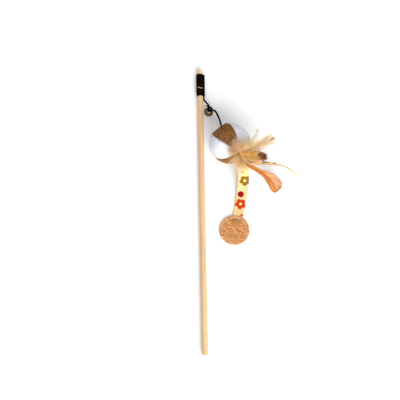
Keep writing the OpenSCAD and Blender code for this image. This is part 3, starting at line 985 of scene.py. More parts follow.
def make_piece(
    name: str, patches: Sequence[Patch], finish: Finish, body: str,
    stands_for: Sequence[str] = (),
) -> bpy.types.Object:
    """Make one piece from patches, dress it and let it ride on a body.

    Args:
        name: name of the piece.
        patches: its surfaces.
        finish: its material.
        body: body that it moves with, or nothing.
        stands_for: solids that it takes the place of.

    Returns:
        The new object.
    """
    loops: list[Array] = []
    totals: list[Array] = []
    places: list[Array] = []
    offset = 0
    for patch in patches:
        for block, corner in zip(patch.faces, patch.corners):
            loops.append((block + offset).reshape(-1))
            totals.append(np.full(len(block), block.shape[1]))
            places.append(corner.reshape(-1, 2))
        offset += len(patch.points)
    vertex, total, place = np.concatenate(loops), np.concatenate(totals), np.concatenate(places)
    points = np.concatenate([patch.points for patch in patches])
    mesh = bpy.data.meshes.new(name)
    mesh.vertices.add(len(points))
    mesh.vertices.foreach_set("co", points.astype(np.float32).reshape(-1))
    mesh.loops.add(len(vertex))
    mesh.polygons.add(len(total))
    mesh.polygons.foreach_set("loop_start", np.concatenate([[0], np.cumsum(total)[:-1]]).astype(np.int32))
    mesh.polygons.foreach_set("vertices", vertex.astype(np.int32))
    mesh.update(calc_edges=True)
    mesh.polygons.foreach_set("use_smooth", np.ones(len(total), bool))
    mesh.uv_layers.new(name="surface").data.foreach_set("uv", place.astype(np.float32).reshape(-1))
    if all(patch.dye is not None for patch in patches):
        colour = np.c_[np.concatenate([patch.dye for patch in patches]), np.ones(len(points))]
        paint = mesh.color_attributes.new(name="dye", type="FLOAT_COLOR", domain="POINT")
        paint.data.foreach_set("color", colour.astype(np.float32).reshape(-1))
    mesh.materials.append(finish.material())
    piece = add_object(name, mesh)
    if body:
        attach(piece, body)
    if stands_for:
        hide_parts(*stands_for)
    log.info("%s: %d points, %d faces", name, len(points), len(total))
    return piece


def place(*values: float) -> Array:
    """A dataclass field that holds a place, as x, y and z."""
    return field(default_factory=lambda: np.array(values, float))


@dataclass(frozen=True)
class Layout:
    """Places of the pieces, as the solids have them."""

    floor: float = -0.0052
    exit_point: Array = place(0.005, 0.3655, 0.0)
    knot_centre: Array = place(0.013, 0.3427, 0.0099713)
    lift_pivot: Array = place(0.0177049, 0.3420388, 0.0091592)
    ball_centre: Array = place(0.0398, 0.2873, 0.0233)
    ball_radius: float = 0.0285
    tie_top: float = 0.0320
    ribbon_root: Array = place(0.0529886, 0.2657787, 0.0403563)
    flap_pivot: Array = place(0.0492732, 0.1923476, -0.0034)
    disc_base: Array = place(0.0434, 0.1698, -0.0052)

    @property
    def strand(self) -> Array:
        """Axes at the knot, of which X runs along the cord through the bell's eye."""
        return tilted(9.7, -8.0)

    @property
    def pole(self) -> Array:
        """Axes of the ball, of which Z points to the pole with the feathers."""
        return tilted(49.3, -56.8)

    def at_knot(self, local: Array) -> Array:
        """Turn places from the knot, in millimetres along its axes, into places in the frame."""
        return self.knot_centre + (np.asarray(local, float) * MM) @ self.strand

    def on_ball(self, local: Array) -> Array:
        """Turn places from the ball's centre, in metres along its axes, into places in the frame."""
        return self.ball_centre + np.asarray(local, float) @ self.pole


LAYOUT = Layout()
DISC_TURN = -14.6


class Studio:
    """Camera, floor and lamps.

    The camera's numbers follow from the rod's two ends in the photograph: its eye, its lean back
    from straight down, its turn about its own line of sight, and half the picture's width and the
    focal length in pixels.
    """

    eye = (-0.003013, -0.183722, 1.297430)
    lean = 17.0
    turn = -1.016
    half_width = 200.0
    focal_length = 982.961
    shade_light = 0.46
    floor_glow = 0.12
    floor_reach = 2.5

    def camera(self) -> None:
        """Place the camera at the photograph's angle."""
        data = bpy.data.cameras.new("camera")
        data.sensor_fit = "HORIZONTAL"
        data.angle = 2 * atan(self.half_width / self.focal_length)
        data.clip_start, data.clip_end = 0.01, 20.0
        camera = add_object("camera", data)
        turn = Matrix.Rotation(radians(self.lean), 4, "X") @ Matrix.Rotation(radians(self.turn), 4, "Z")
        camera.matrix_world = Matrix.Translation(Vector(self.eye)) @ turn
        bpy.context.scene.camera = camera

    def light(self) -> None:
        """Set the lamps, the pale surroundings and the floor."""
        scene = bpy.context.scene
        scene.view_settings.view_transform = "Standard"
        world = bpy.data.worlds.new("surroundings")
        scene.world = world
        world.use_nodes = True
        g = Graph(world.node_tree)
        world.node_tree.nodes.clear()
        strength = g.plus(self.shade_light, g.times(g.seen(), 1.0 - self.shade_light))
        sky = g.add("ShaderNodeBackground", {"Color": WHITE, "Strength": strength})
        g.add("ShaderNodeOutputWorld", {0: sky.outputs[0]})
        self._lamp("key", (0.26, -0.82, 0.58), 38.0, 3.5)
        self._lamp("fill", (0.75, 0.35, 1.0), 60.0, 0.4)
        self._floor()

    def _lamp(self, name: str, way: tuple[float, float, float], spread: float, strength: float) -> None:
        """Add one distant lamp whose light comes from a wide patch of the sky.

        Args:
            name: name of the lamp.
            way: direction in which it lies.
            spread: angle that it covers, in degrees.
            strength: its light on a surface that faces it, in watts on a square metre.
        """
        data = bpy.data.lights.new(name, "SUN")
        data.angle, data.energy = radians(spread), strength
        add_object(name, data).rotation_euler = Vector(way).to_track_quat("Z", "Y").to_euler()

    def _floor(self) -> None:
        """Add the floor, which looks white where it is lit and keeps the object's shadow."""
        far, z = self.floor_reach, LAYOUT.floor
        mesh = bpy.data.meshes.new("floor")
        mesh.from_pydata([(-far, -far, z), (far, -far, z), (far, far, z), (-far, far, z)], [], [(0, 1, 2, 3)])
        made = bpy.data.materials.new("floor")
        made.use_nodes = True
        g = Graph(made.node_tree)
        g.fill(made.node_tree.nodes["Principled BSDF"], {
            "Base Color": (0.9, 0.9, 0.905, 1.0), "Roughness": 1.0, "Specular IOR Level": 0.0,
            "Emission Color": WHITE, "Emission Strength": g.times(g.seen(), self.floor_glow)})
        mesh.materials.append(made)
        floor = add_object("floor", mesh)


@dataclass
class Cords:
    """The elastic cord from the binding to the ball, tied at the bell."""

    diameter: float = 0.0026
    squeezed: float = 0.00108
    held: float = 0.028
    loops: tuple[float, float] = (2.9, 1.95)
    heights: tuple[float, float] = (2.05, 3.75)
    join: tuple[float, float, float] = (-1.9, 3.9, 1.9)
    tight: float = 1.12
    sides: int = 14

    @property
    def meeting(self) -> Array:
        """Place at which the cord from the binding runs into the knot."""
        return LAYOUT.at_knot(self.join)

    def upper_path(self) -> Array:
        """Line of the cord from under the binding to the knot.

        Returns:
            Points, shape (n, 3).
        """
        steps = np.array([
            [0.1, -2.6, 0.5], [0.9, -5.6, 2.4], [2.6, -9, 5.3], [4.5, -12.6, 8.3], [6.1, -15.9, 10.8]]) * MM
        start = LAYOUT.exit_point
        inside = start + np.array([[0, self.held, 0], [0, 0.012, 0], [0, 0.003, 0], [0, 0, 0]])
        points = np.concatenate([inside, start + steps, self.meeting[None]])
        return smooth_path(points, 150, np.array([0, -1.0, 0]), self.meeting_direction)

    @property
    def meeting_direction(self) -> Array:
        """Direction in which the cord enters the knot."""
        return unit(np.array([-0.15, -0.97, 0.12]) @ LAYOUT.strand)

    def lower_path(self) -> Array:
        """Line of the cord from the knot through the bell's eye and on into the ball.

        Returns:
            Points, shape (n, 3).
        """
        local = [[-2.25, -0.9, 2.3], [-3.45, -1.0, 1.7], [-3.85, -0.55, 0.75], [-3.2, -0.1, 0.1],
                 [-1.8, 0, 0], [0, 0, 0], [2.4, 0, 0], [4.82, 0, 0], [6.0, 0, 0]]
        steps = np.array([
            [16.1, -24.9, 7.7], [18.3, -27.9, 5.4], [20.3, -31.7, 2.8], [22.1, -36, 0.2], [23.6, -40.6, -2.1],
            [24.5, -45.2, -3.3], [23.9, -49.2, -3.6], [21.9, -52.3, -3.1], [20.1, -54.6, -1.6]]) * MM
        entry = LAYOUT.on_ball([0, 0, -LAYOUT.ball_radius])
        pole = LAYOUT.pole[2]
        ends = np.array([entry - 0.0045 * pole, entry, entry + 0.004 * pole])
        points = np.concatenate([LAYOUT.at_knot(local), LAYOUT.exit_point + steps, ends])
        return smooth_path(points, 420, None, pole)

    def knot_path(self) -> Array:
        """Line of the knot: two turns round the bell's eye, then over itself to the cut end.

        The turns are circles about the eye, of which the second is smaller and lies on the first.

        Returns:
            Points, shape (n, 3).
        """
        angle = np.linspace(168, 800, 60)
        up = eased(angle, 430, 560)
        r = self.loops[0] + (self.loops[1] - self.loops[0]) * up
        h = self.heights[0] + (self.heights[1] - self.heights[0]) * up
        a = np.radians(angle)
        turns = np.stack([r * np.cos(a), r * np.sin(a), h], axis=1)
        after = [[-1.6, 2.3, 4.3], [-3.2, 2.8, 4.1], [-4.6, 3.1, 3.4], [-5.4, 3.35, 2.8]]
        local = np.concatenate([[self.join, [-2.6, 2.2, 2.0]], turns, after])
        return smooth_path(LAYOUT.at_knot(local), 420, self.meeting_direction)

    def run(
        self, name: str, path: Array, slim: tuple[float, float], nodes: Sequence[str],
        bodies: Sequence[str], bend: tuple[Array, Array], leaves: Array, far_end: str,
    ) -> None:
        """Args:
            name: name of the piece.
            path: its line.
            slim: lengths along it between which it widens from squeezed to full.
            nodes: solids that it takes the place of.
            bodies: bodies at its two ends; not used.
            bend: places between which it passes from one body to the other; not used.
            leaves: place where it comes free; not used.
            far_end: what its far end is held by; not used.
        """
        length = travelled(path)
        radius = self.squeezed + (self.diameter / 2 - self.squeezed) * eased(length, *slim)
        piece = make_piece(name, [tube(path, radius, self.sides, UP)], Finishes.cord, "", nodes)
        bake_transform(piece)
        log.info("%s is %.1f mm long", name, length[-1] / MM)

    def build(self) -> None:
        leaves, pivot, along = LAYOUT.exit_point, LAYOUT.lift_pivot, LAYOUT.strand[0]
        self.run(
            "cord_to_knot", self.upper_path(), slim=(self.held, self.held + 0.004),
            nodes=("cord_anchor", "cord_upper"), bodies=("wand", "lead"),
            bend=(leaves + [0, 0.0008, 0], leaves + [0.0012, -0.0042, 0.0018]), leaves=leaves, far_end="knot")
        self.run(
            "cord_to_ball", self.lower_path(), slim=(0.0095, 0.0125),
            nodes=("cord_lower",), bodies=("lead", "drop"),
            bend=(pivot - 0.0003 * along, pivot + 0.0030 * along), leaves=self.meeting, far_end="object")
        turns = tube(self.knot_path(), self.squeezed * self.tight, self.sides, UP)
        make_piece("knot_turns", [turns], Finishes.cord, "lead", ("knot",))


@dataclass
class Binding:
    """The tightly wound twine that holds the cord to the rod, and the staple through it."""

    start: float = 0.367
    length: float = 0.034
    turns: int = 36
    radius: float = 0.00046
    outer: float = 0.0052
    cord_side: float = 0.005
    cord_radius: float = 0.0009
    rings: int = 40

    def wound_path(self) -> Array:
        """Line of the twine: a helix that leaves the sleeve to pass over the cord.

        The distance from the axis is the sleeve's, then a straight line to the cord, then a
        circle round the cord, by the angle from it.

        Returns:
            Points, shape (n, 3).
        """
        lap = np.linspace(0, self.turns, self.turns * self.rings + 1)
        angle = 360 * lap - 28 * np.sin(2 * pi * lap)
        wind = self.outer - self.radius
        lobe = self.cord_radius + 0.00008 + self.radius
        begin = np.degrees(np.arccos((wind - lobe) / self.cord_side))
        end = np.degrees(np.arctan2(
            lobe * np.sin(radians(begin)), self.cord_side + lobe * np.cos(radians(begin))))
        t = np.abs(angle - 360 * np.round(angle / 360))
        on_cord = self.cord_side * np.cos(np.radians(t)) + np.sqrt(
            np.maximum(lobe**2 - (self.cord_side * np.sin(np.radians(t))) ** 2, 0))
        straight = wind / np.cos(np.radians(np.minimum(begin - t, 80)))
        r = np.where(t >= begin, wind, np.where(t >= end, straight, on_cord))
        top = 1 - eased(self.turns - lap, 0.0, 2.4)
        low = 1 - eased(lap, 0.0, 1.5)
        slack = 0.0003 * np.cos(np.radians(np.clip(180 - t, 0, 90))) * eased(lap, 2.0, 9.0)
        r = r + (slack - 0.00026 * np.maximum(top, low)) * (t >= begin)
        a = np.radians(angle)
        y = self.start + self.radius + (self.length - 2 * self.radius) * lap / self.turns
        wobble = 0.00004 * np.sin(a * 0.37 + 1.3) + 0.00003 * np.sin(a * 2.71)
        return np.stack([r * np.cos(a), y + wobble, r * np.sin(a)], axis=1)

    def sleeve(self) -> Patch:
        """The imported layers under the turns, as a spun ring from the wood out to the turns.

        Returns:
            The patch.
        """
        inner, outer, inset, bulge, pitch = 0.00382, 0.00422, 0.0003, 0.00004, 0.00092
        segments, up_rows, back_rows = 64, 60, 20
        low, high = self.start + inset, self.start + self.length - inset
        height = np.linspace(low, high, up_rows)
        loop_r = np.concatenate([
            outer + bulge * np.sin(height * 2 * pi / pitch), np.full(back_rows, inner)])
        loop_y = np.concatenate([height, np.linspace(high, low, back_rows)])
        angle = (2 * pi * np.arange(segments) / segments)[:, None]
        shape = (segments, len(loop_y))
        sections = np.stack([
            loop_r * np.cos(angle), np.broadcast_to(loop_y, shape), loop_r * np.sin(angle)], axis=-1)
        number = np.arange(segments * len(loop_y)).reshape(shape)
        right, below = np.roll(number, -1, 1), np.roll(number, -1, 0)
        quads = np.stack([number, right, np.roll(right, -1, 0), below], -1).reshape(-1, 4)
        return Patch(sections.reshape(-1, 3), [quads], [np.zeros((len(quads), 4, 2))]).outward()

    def stray_fibres(self, path: Array) -> Patch:
        """Short fibres that stand off the twine, each a curve of five points.

        Args:
            path: line of the twine.

        Returns:
            The patch.
        """
        rng = np.random.default_rng(11)
        count = 520
        at = rng.integers(self.rings, len(path) - self.rings, count)
        base = path[at]
        out = unit(base * [1, 0, 1])
        lean = unit(out * rng.uniform(0.3, 1.0, (count, 1)) + rng.normal(size=(count, 3)) * 0.75)
        length = rng.uniform(0.0006, 0.0016, (count, 1, 1))
        paths = curling(rng, base + out * self.radius * 0.7, lean, length, 5, curl=0.35)
        return fibres(kept_above(paths, 0.00005), 0.00003, 0.6, (0.31, 0.95, 0.1))

    def staple(self) -> Patch:
        """The staple: flat wire along a crown with two rounded corners and two legs.

        Returns:
            The patch.
        """
        low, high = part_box("staple")
        middle = np.array([(low.x + high.x) / 2, (low.y + high.y) / 2, high.z - 0.00026])
        turn = radians(-9.5)
        across = np.array([np.cos(turn), np.sin(turn), 0])
        half, leg, bend = 0.0034, 0.0049, 0.0006
        corner = np.linspace(0, pi / 2, 8)[:, None]
        left = -half * across + bend * ((1 - np.cos(corner)) * across - (1 - np.sin(corner)) * UP)
        right = half * across - bend * ((1 - np.sin(corner)) * across + (1 - np.cos(corner)) * UP)
        path = np.concatenate([
            np.linspace(-half * across - leg * UP, -half * across - 1.3 * bend * UP, 6), left,
            np.linspace(-0.35 * half * across, 0.35 * half * across, 5), right,
            np.linspace(half * across - 1.3 * bend * UP, half * across - leg * UP, 6)])
        path = middle + path - 0.06 * (path @ across)[:, None] ** 2 / half * UP
        crown = eased(path[:, 2], middle[2] - 0.0009, middle[2] - 0.0001)
        wide = (0.00025 + 0.00027 * crown)[None]
        along_rod = np.array([-np.sin(turn), np.cos(turn), 0.0])
        return strands(path[None], along_rod, wide, 0.00025, 12, 0.55)

    def build(self) -> None:
        """Make the binding and the staple."""
        path = self.wound_path()
        side = np.array([0, 1.0, 0])
        make_piece("binding_turns", [plied(path, self.radius, 2, 0.0026, 10, side), self.stray_fibres(path)],
                   Finishes.binding, "wand", ("binding_twine",))
        make_piece("binding_layers", [self.sleeve()], Finishes.binding, "wand", ("binding_core",))
        make_piece("staple_wire", [self.staple()], Finishes.staple, "wand", ("staple",))


@dataclass
class Ball:
    """The felt ball: six panels sewn edge to edge round a stuffed core."""

    radius: float = 0.0285
    felt: float = 0.0019
    spin: float = 215.7
    seams: tuple[float, ...] = (0, 68, 119, 177, 236, 300.5, 360)
    flatness: tuple[float, ...] = (-0.12, -0.08, 0.09, 0.5, 0.3, 0.7)
    valley: float = 0.0005
    valley_width: float = 0.0010
    gap: float = 0.0006
    tuck: float = 0.0006
    tuck_width: float = 0.00022
    rows: int = 96
    columns: int = 44
    back_columns: int = 12
    broad_lumps: float = 0.00026
    fine_lumps: float = 0.00007
    hairs: int = 1500

    def edges(self, number: int) -> tuple[float, float]:
        """Azimuths of a panel's two seams, the lower one first, in radians."""
        return radians(self.spin + self.seams[number]), radians(self.spin + self.seams[number + 1])

    def form(self, polar: Array, azimuth: Array, number: int) -> Array:
        """Distance of a panel from the centre, without its seams and lumps.

        Between its seams the panel is flatter than a sphere: the radius is less by a share of
        what a straight chord would take off. The panel that the ball lies on is nearly round.

        Args:
            polar: angle from the pole with the feathers, in radians.
            azimuth: angle round the pole, in radians.
            number: place of the panel round the ball.

        Returns:
            Distances in metres.
        """
        low, high = self.edges(number)
        chord = np.maximum(1 - np.cos((high - low) / 2) / np.cos(azimuth - (high + low) / 2), 0.0)
        return self.radius * (1 - self.flatness[number] * chord * np.sin(polar) ** 0.7)

    def skin(self, polar: Array, azimuth: Array, number: int) -> Array:
        """Distance of a panel's face from the centre: its form, less a bell curve at each seam, and lumps.

        Args:
            polar: angle from the pole with the feathers, in radians.
            azimuth: angle round the pole, in radians.
            number: place of the panel round the ball.

        Returns:
            Distances in metres.
        """
        low, high = self.edges(number)
        away = self.radius * np.sin(polar) * np.minimum(azimuth - low, high - azimuth)
        dip = self.valley * np.exp(-((away / self.valley_width) ** 2))
        place_on = from_pole(polar, azimuth) * self.radius
        broad, fine = lumps(place_on, 0.009, number), lumps(place_on, 0.0024, number + 50)
        rough = self.broad_lumps * broad + self.fine_lumps * fine
        return self.form(polar, azimuth, number) - dip + np.minimum(rough, 0.0) - 0.00005

    def panel(self, number: int) -> tuple[Patch, Patch]:
        """One panel and the fibres that stand off it.

        Each section is a closed loop: out across the face, and back along the core. Neighbours
        leave a gap, in radians, and the face tucks in at its edges as a bell curve.

        Args:
            number: place of the panel round the ball.

        Returns:
            The panel and its fibres.
        """
        low, high = self.edges(number)
        low, high = low + self.gap, high - self.gap
        polar = np.radians(np.linspace(2.7, 177.3, self.rows))[:, None]
        share = np.linspace(0, 1, self.columns)
        share = 0.5 - 0.5 * np.cos(pi * share) * (0.55 + 0.45 * np.abs(np.cos(pi * share)) ** 0.5)
        face = low + (high - low) * share[None]
        back = low + (high - low) * np.linspace(0.97, 0.03, self.back_columns)[None]
        outer = self.skin(polar, face, number)
        edge = np.minimum(share, 1 - share)[None] * (high - low) * self.radius * np.sin(polar)
        outer = outer - self.tuck * np.exp(-((edge / self.tuck_width) ** 2))
        inner = self.form(polar, back, number) - self.felt
        azimuth = np.concatenate(
            [np.broadcast_to(face, outer.shape), np.broadcast_to(back, inner.shape)], axis=1)
        distance = np.concatenate([outer, inner], axis=1)[..., None]
        skin = LAYOUT.on_ball(distance * from_pole(polar, azimuth))
        count = azimuth.shape[1]
        patch = shell(skin, polar[:, 0] * self.radius, np.arange(count + 1) / count)
        return patch, self.fuzz(number, low, high)

    def fuzz(self, number: int, low: float, high: float) -> Patch:
        """Fibres that stand off a panel, each a short curve that leans over.

        Args:
            number: place of the panel round the ball.
            low: azimuth of its first seam.
            high: azimuth of its second seam.

        Returns:
            The patch.
        """
        rng = np.random.default_rng(100 + number)
        count = self.hairs
        polar = np.arccos(rng.uniform(-0.985, 0.985, count))
        azimuth = rng.uniform(low, high, count)
        far = self.skin(polar, azimuth, number)
        out = from_pole(polar, azimuth)
        base = LAYOUT.on_ball(out * (far - 0.00006)[:, None])
        normal = out @ LAYOUT.pole
        lean = unit(normal * rng.uniform(0.15, 0.8, (count, 1)) + rng.normal(size=(count, 3)) * 0.7)
        lean = unit(lean + normal * np.maximum(0.12 - (lean * normal).sum(-1, keepdims=True), 0))
        paths = curling(rng, base, lean, rng.uniform(0.0003, 0.0009, (count, 1, 1)), 4)
        return fibres(kept_above(paths, 0.00004), 0.00003, 0.7, (0.4, 0.3, 0.86))

    def core(self) -> Patch:
        """The stuffed core: the panels' form less the felt and less the size of a smooth noise.

        Returns:
            The patch.
        """
        rows, columns, slack = 60, 96, 0.0002
        polar = np.radians(np.linspace(3.2, 176.8, rows))[:, None]
        azimuth = radians(self.spin) + np.linspace(0, 2 * pi, columns, endpoint=False)[None]
        distance = np.zeros((rows, columns))
        for number in range(len(self.flatness)):
            low, high = self.edges(number)
            inside = (azimuth[0] >= low) & (azimuth[0] < high)
            distance[:, inside] = self.form(polar, azimuth[:, inside], number)
        direction = from_pole(polar, azimuth)
        lump = np.abs(lumps(direction * self.radius, 0.01, 77)) * slack
        distance = distance - self.felt - slack - lump
        surface = LAYOUT.on_ball(distance[..., None] * direction)
        return shell(surface, polar[:, 0] * self.radius, np.arange(columns + 1) / columns)

    def build(self) -> None:
        """Make the panels and the core."""
        for number in range(len(self.flatness)):
            shade, finish = (("white", Finishes.white), ("brown", Finishes.brown))[number % 2]
            place_in = number // 2 + 1
            piece = make_piece(f"{shade}_panel_{place_in}", self.panel(number), finish, "ball",
                               (f"{shade}_gore_{place_in}",))
        core = make_piece(
            "ball_stuffing", [self.core()], Finishes.stuffing, "ball", ("ball_core",))


class Dye(Enum):
    """How a feather is coloured: the main colour of each kind, as red, green and blue to 255."""

    BROAD = (206, 132, 60)
    STRIPED = (240, 200, 148)
    CURLED = (255, 198, 116)
    GOLDEN = (255, 200, 126)
    WHITE = (255, 250, 246)
    DOWN = (226, 180, 130)

    def paint(self, u: Array, v: Array, side: Array, chance: Array) -> Array:
        """Colour of a feather at each place: its main colour, covered by others in turn by a share.

        Args:
            u: share of the way along the feather.
            v: share of the way out across it.
            side: -1 or 1, which side of the quill.
            chance: a random number from 0 to 1 for each barb.

        Returns:
            Linear colours, shape (..., 3).
        """
        u, v, side, chance = np.broadcast_arrays(u, v, side, chance)
        tone = np.broadcast_to(painted(*self.value), u.shape + (3,))

        def over(colour: tuple[float, float, float], share: Array) -> Array:
            """Cover the tone with a colour by a share."""
            return tone * (1 - share[..., None]) + painted(*colour) * share[..., None]

        if self is Dye.BROAD:
            tone = over((222, 170, 130), eased(u, 0.5, 0.66) * (side < 0) * eased(v, 0.1, 0.3) * 0.9)
            tone = over((198, 126, 66), eased(u, 0.86, 0.97) * 0.8)
            tone = over((168, 82, 26), eased(u, 0.95, 0.99) * (side < 0) * 0.8)
            tone = over((178, 86, 26), eased(v, 0.8, 0.95) * (side < 0) * (1 - eased(u, 0.62, 0.74)) * 0.9)
            tone = over((186, 98, 46), (1 - eased(v, 0.04, 0.2)) * eased(u, 0.25, 0.4) * 0.9)
            tone = over((248, 214, 172), (1 - eased(u, 0.1, 0.5)) * eased(v, 0.3, 1.0) * (side > 0) * 0.8)
        elif self is Dye.STRIPED:
            bands = ((0.21, 0.05), (0.44, 0.05), (0.575, 0.02))
            band = sum(np.exp(-(((u - middle) / breadth) ** 2)) for middle, breadth in bands)
            tone = over((84, 54, 34), eased(band, 0.3, 0.7) * (side < 0) * (1 - 0.5 * eased(v, 0.5, 1.0)))
            tone = over((238, 188, 160), (side > 0) * eased(v, 0.2, 0.5) * 0.7)
            tone = over((216, 186, 100), eased(u, 0.62, 0.70))
            tone = over((240, 212, 130), eased(u, 0.75, 0.95))
        elif self is Dye.CURLED:
            tone = over((138, 72, 16), eased(u, 0.62, 0.72) * (side < 0) * (1 - 0.7 * eased(v, 0.7, 0.95)))
            tone = over((146, 78, 18), eased(u, 0.72, 0.84) * 0.85)
            tone = over((250, 216, 160), (1 - eased(u, 0.1, 0.7)) * eased(v, 0.3, 1.0) * 0.6)
        elif self is Dye.GOLDEN:
            tone = over((255, 234, 190), np.maximum(eased(v, 0.2, 0.9) * 0.7, eased(chance, 0.5, 0.9) * 0.7))
        elif self is Dye.WHITE:
            tone = over((246, 222, 208), eased(v, 0.2, 1.0) * 0.5)
            tone = over((238, 208, 174), (chance > 0.8) * 0.6)
        else:
            tone = over((204, 156, 104), eased(v, 0.1, 0.9) * 0.8)
            tone = over((244, 194, 130), eased(chance, 0.5, 0.7) * 0.7)
            tone = over((244, 232, 220), (1 - eased(chance, 0.15, 0.3)) * 0.7)
        return np.clip(tone * (0.8 + 0.4 * chance[..., None]), 0, 1)


@dataclass(frozen=True)
class Feather:
    """One feather: a bent quill with barbs on both sides."""

    node: str
    slot: str
    dye: Dye
    place: float
    width: float
    shares: tuple[tuple[float, float], ...]
    route: tuple[tuple[float, float, float], ...]
    over: bool = False
    skew: float = 0.0
    barbs: int = 180
    lean: float = 42.0
    cup: float = 0.1
    wave: float = 0.03
    ragged: float = 0.08
    barb_width: float = 0.00024
    fluff: int = 0
    seed: int = 1

    def quill(self, count: int) -> tuple[Array, Array, Array]:
        """The quill's line, a smooth curve through its route, and the directions across it.

        Args:
            count: how many points.

        Returns:
            The line, the direction out along the vane and the one out of it.
        """
        root = LAYOUT.on_ball([
            0.0015 * np.cos(radians(self.place)), 0.0015 * np.sin(radians(self.place)),
            LAYOUT.tie_top + 0.0003 + 0.00045 * self.over])
        line = smooth_path(root + np.array([(0.0, 0.0, 0.0), *self.route]) * MM, count)
        along = unit(np.gradient(line, axis=0))
        above = unit(line - LAYOUT.ball_centre) if self.over else UP
        side = unit(np.cross(along, above))
        return line, side, np.cross(side, along)

    def vane(self) -> list[Patch]:
        """The barbs, and their barbules where the feather is fluffy.

        A barb joins a place on the quill to one on the outline of the vane further on, where
        "further on" is the outline's half width divided by the tangent of the lean. It follows
        the quill's bend, lifts by the cup, and sways by waves that it mostly shares with the
        barbs next to it.

        Returns:
            The patches.
        """
        rng = np.random.default_rng(self.seed)
        fine = 400
        line, side, up = self.quill(fine)
        s = np.linspace(0, 1, fine)
        table = np.array(self.shares)
        shape = np.interp(s, table[:, 0], table[:, 1])
        count = 2 * self.barbs
        sign = np.repeat([-1.0, 1.0], self.barbs)
        v = np.linspace(0, 1, 9)[None]
        start = np.zeros(count)
        finish = np.zeros(count)
        reach = np.zeros(count)
        for way in (-1.0, 1.0):
            half = shape * (self.width / 2 - way * self.skew * eased(s, 0.4, 0.65))
            begin = np.maximum.accumulate(s - half / np.tan(radians(self.lean)) / travelled(line)[-1])
            mine = sign == way
            start[mine] = np.linspace(0.015, 1.0, self.barbs)
            finish[mine] = np.interp(start[mine], begin, s)
            reach[mine] = np.interp(finish[mine], s, half)

        def shared(low: float, high: float) -> Array:
            """Random numbers that seven barbs in a row mostly share."""
            rows = np.repeat(rng.uniform(low, high, count // 7 + 1), 7)[:count]
            return (0.75 * rows + 0.25 * rng.uniform(low, high, count))[:, None]

        reach = np.maximum(reach * shared(1 - 2 * self.ragged, 1.05)[:, 0], 0.0003)
        finish = finish + rng.normal(size=count) * 0.006 * (1 + 10 * self.wave)
        loose = (1 - eased(start, 0.05, 0.35))[:, None]
        way = np.clip(start[:, None] + (finish - start)[:, None] * (0.75 * v + 0.25 * v**2), 0, 1)

        def on(values: Array) -> Array:
            """Values along the quill at each place of each barb."""
            return np.stack([np.interp(way, s, values[:, k]) for k in range(3)], axis=-1)

        sway = (self.wave + 0.06 * loose) * np.sin(shared(0, 4 * pi) + v * shared(2, 6)) * v
        lift = reach[:, None] * (self.cup * v**2 + sway + shared(-2, 2) * self.wave * v)
        paths = on(line) + (sign * reach)[:, None, None] * v[..., None] * on(side) + lift[..., None] * on(up)
        drift = (reach[:, None] * (sway + shared(-1.5, 1.5) * self.wave * v))[..., None]
        paths = paths + drift * on(unit(np.gradient(line, axis=0)))
        paths = kept_above(paths, 0.0004)
        chance = np.clip(shared(-0.2, 1.2), 0, 1)
        colour = self.dye.paint(way, v * (reach / reach.max())[:, None] ** 0.5, sign[:, None], chance)
        wide = self.barb_width * (1.05 - 0.6 * v**2) * np.ones((count, 1))
        across = unit(np.cross(np.gradient(paths, axis=1), on(up)))
        patches = [strands(paths, across, wide, 0.00004 + 0 * wide, 4, dye=colour)]
        if self.fluff:
            patches.append(self.barbules(rng, paths, on(up)[:, 4], colour))
        return patches

    def barbules(self, rng: np.random.Generator, paths: Array, up: Array, colour: Array) -> Patch:
        """Fine hairs along the outer part of the barbs, on both sides of each.

        Args:
            rng: source of random numbers.
            paths: lines of the barbs.
            up: direction out of the vane at each barb.
            colour: paint of the barbs.

        Returns:
            The patch.
        """
        count = len(paths) * self.fluff
        barb = np.repeat(np.arange(len(paths)), self.fluff)
        where = rng.uniform(0.12, 0.98, count) * (paths.shape[1] - 1)
        low = np.minimum(where.astype(int), paths.shape[1] - 2)
        share = (where - low)[:, None]
        base = paths[barb, low] * (1 - share) + paths[barb, low + 1] * share
        along = unit(paths[barb, low + 1] - paths[barb, low])
        out = unit(np.cross(along, up[barb])) * rng.choice([-1.0, 1.0], (count, 1))
        lean = unit(along * 0.8 + out + up[barb] * rng.normal(size=(count, 1)) * 0.8)
        lines = curling(rng, base, lean, rng.uniform(0.0010, 0.0032, (count, 1, 1)), 4)
        return fibres(lines, 0.00005, 0.6, (0.2, 0.4, 0.9), colour[barb, low][:, None])

    def build(self) -> None:
        """Make the feather."""
        points, root, tip = 60, 0.00042, 0.00010
        line, side, _ = self.quill(points)
        u = np.linspace(0, 1, points)
        thick = root * (1 - u) ** 0.8 + tip
        tone = self.dye.paint(u, np.zeros(points), np.ones(points), np.full(points, 0.6)) * 0.9
        shaft = strands(line[None], side[None], thick[None], thick[None], 8, dye=tone[None])
        make_piece(
            self.node + "_barbs", [shaft, *self.vane()], Finishes.feather, "ball", (self.node,))


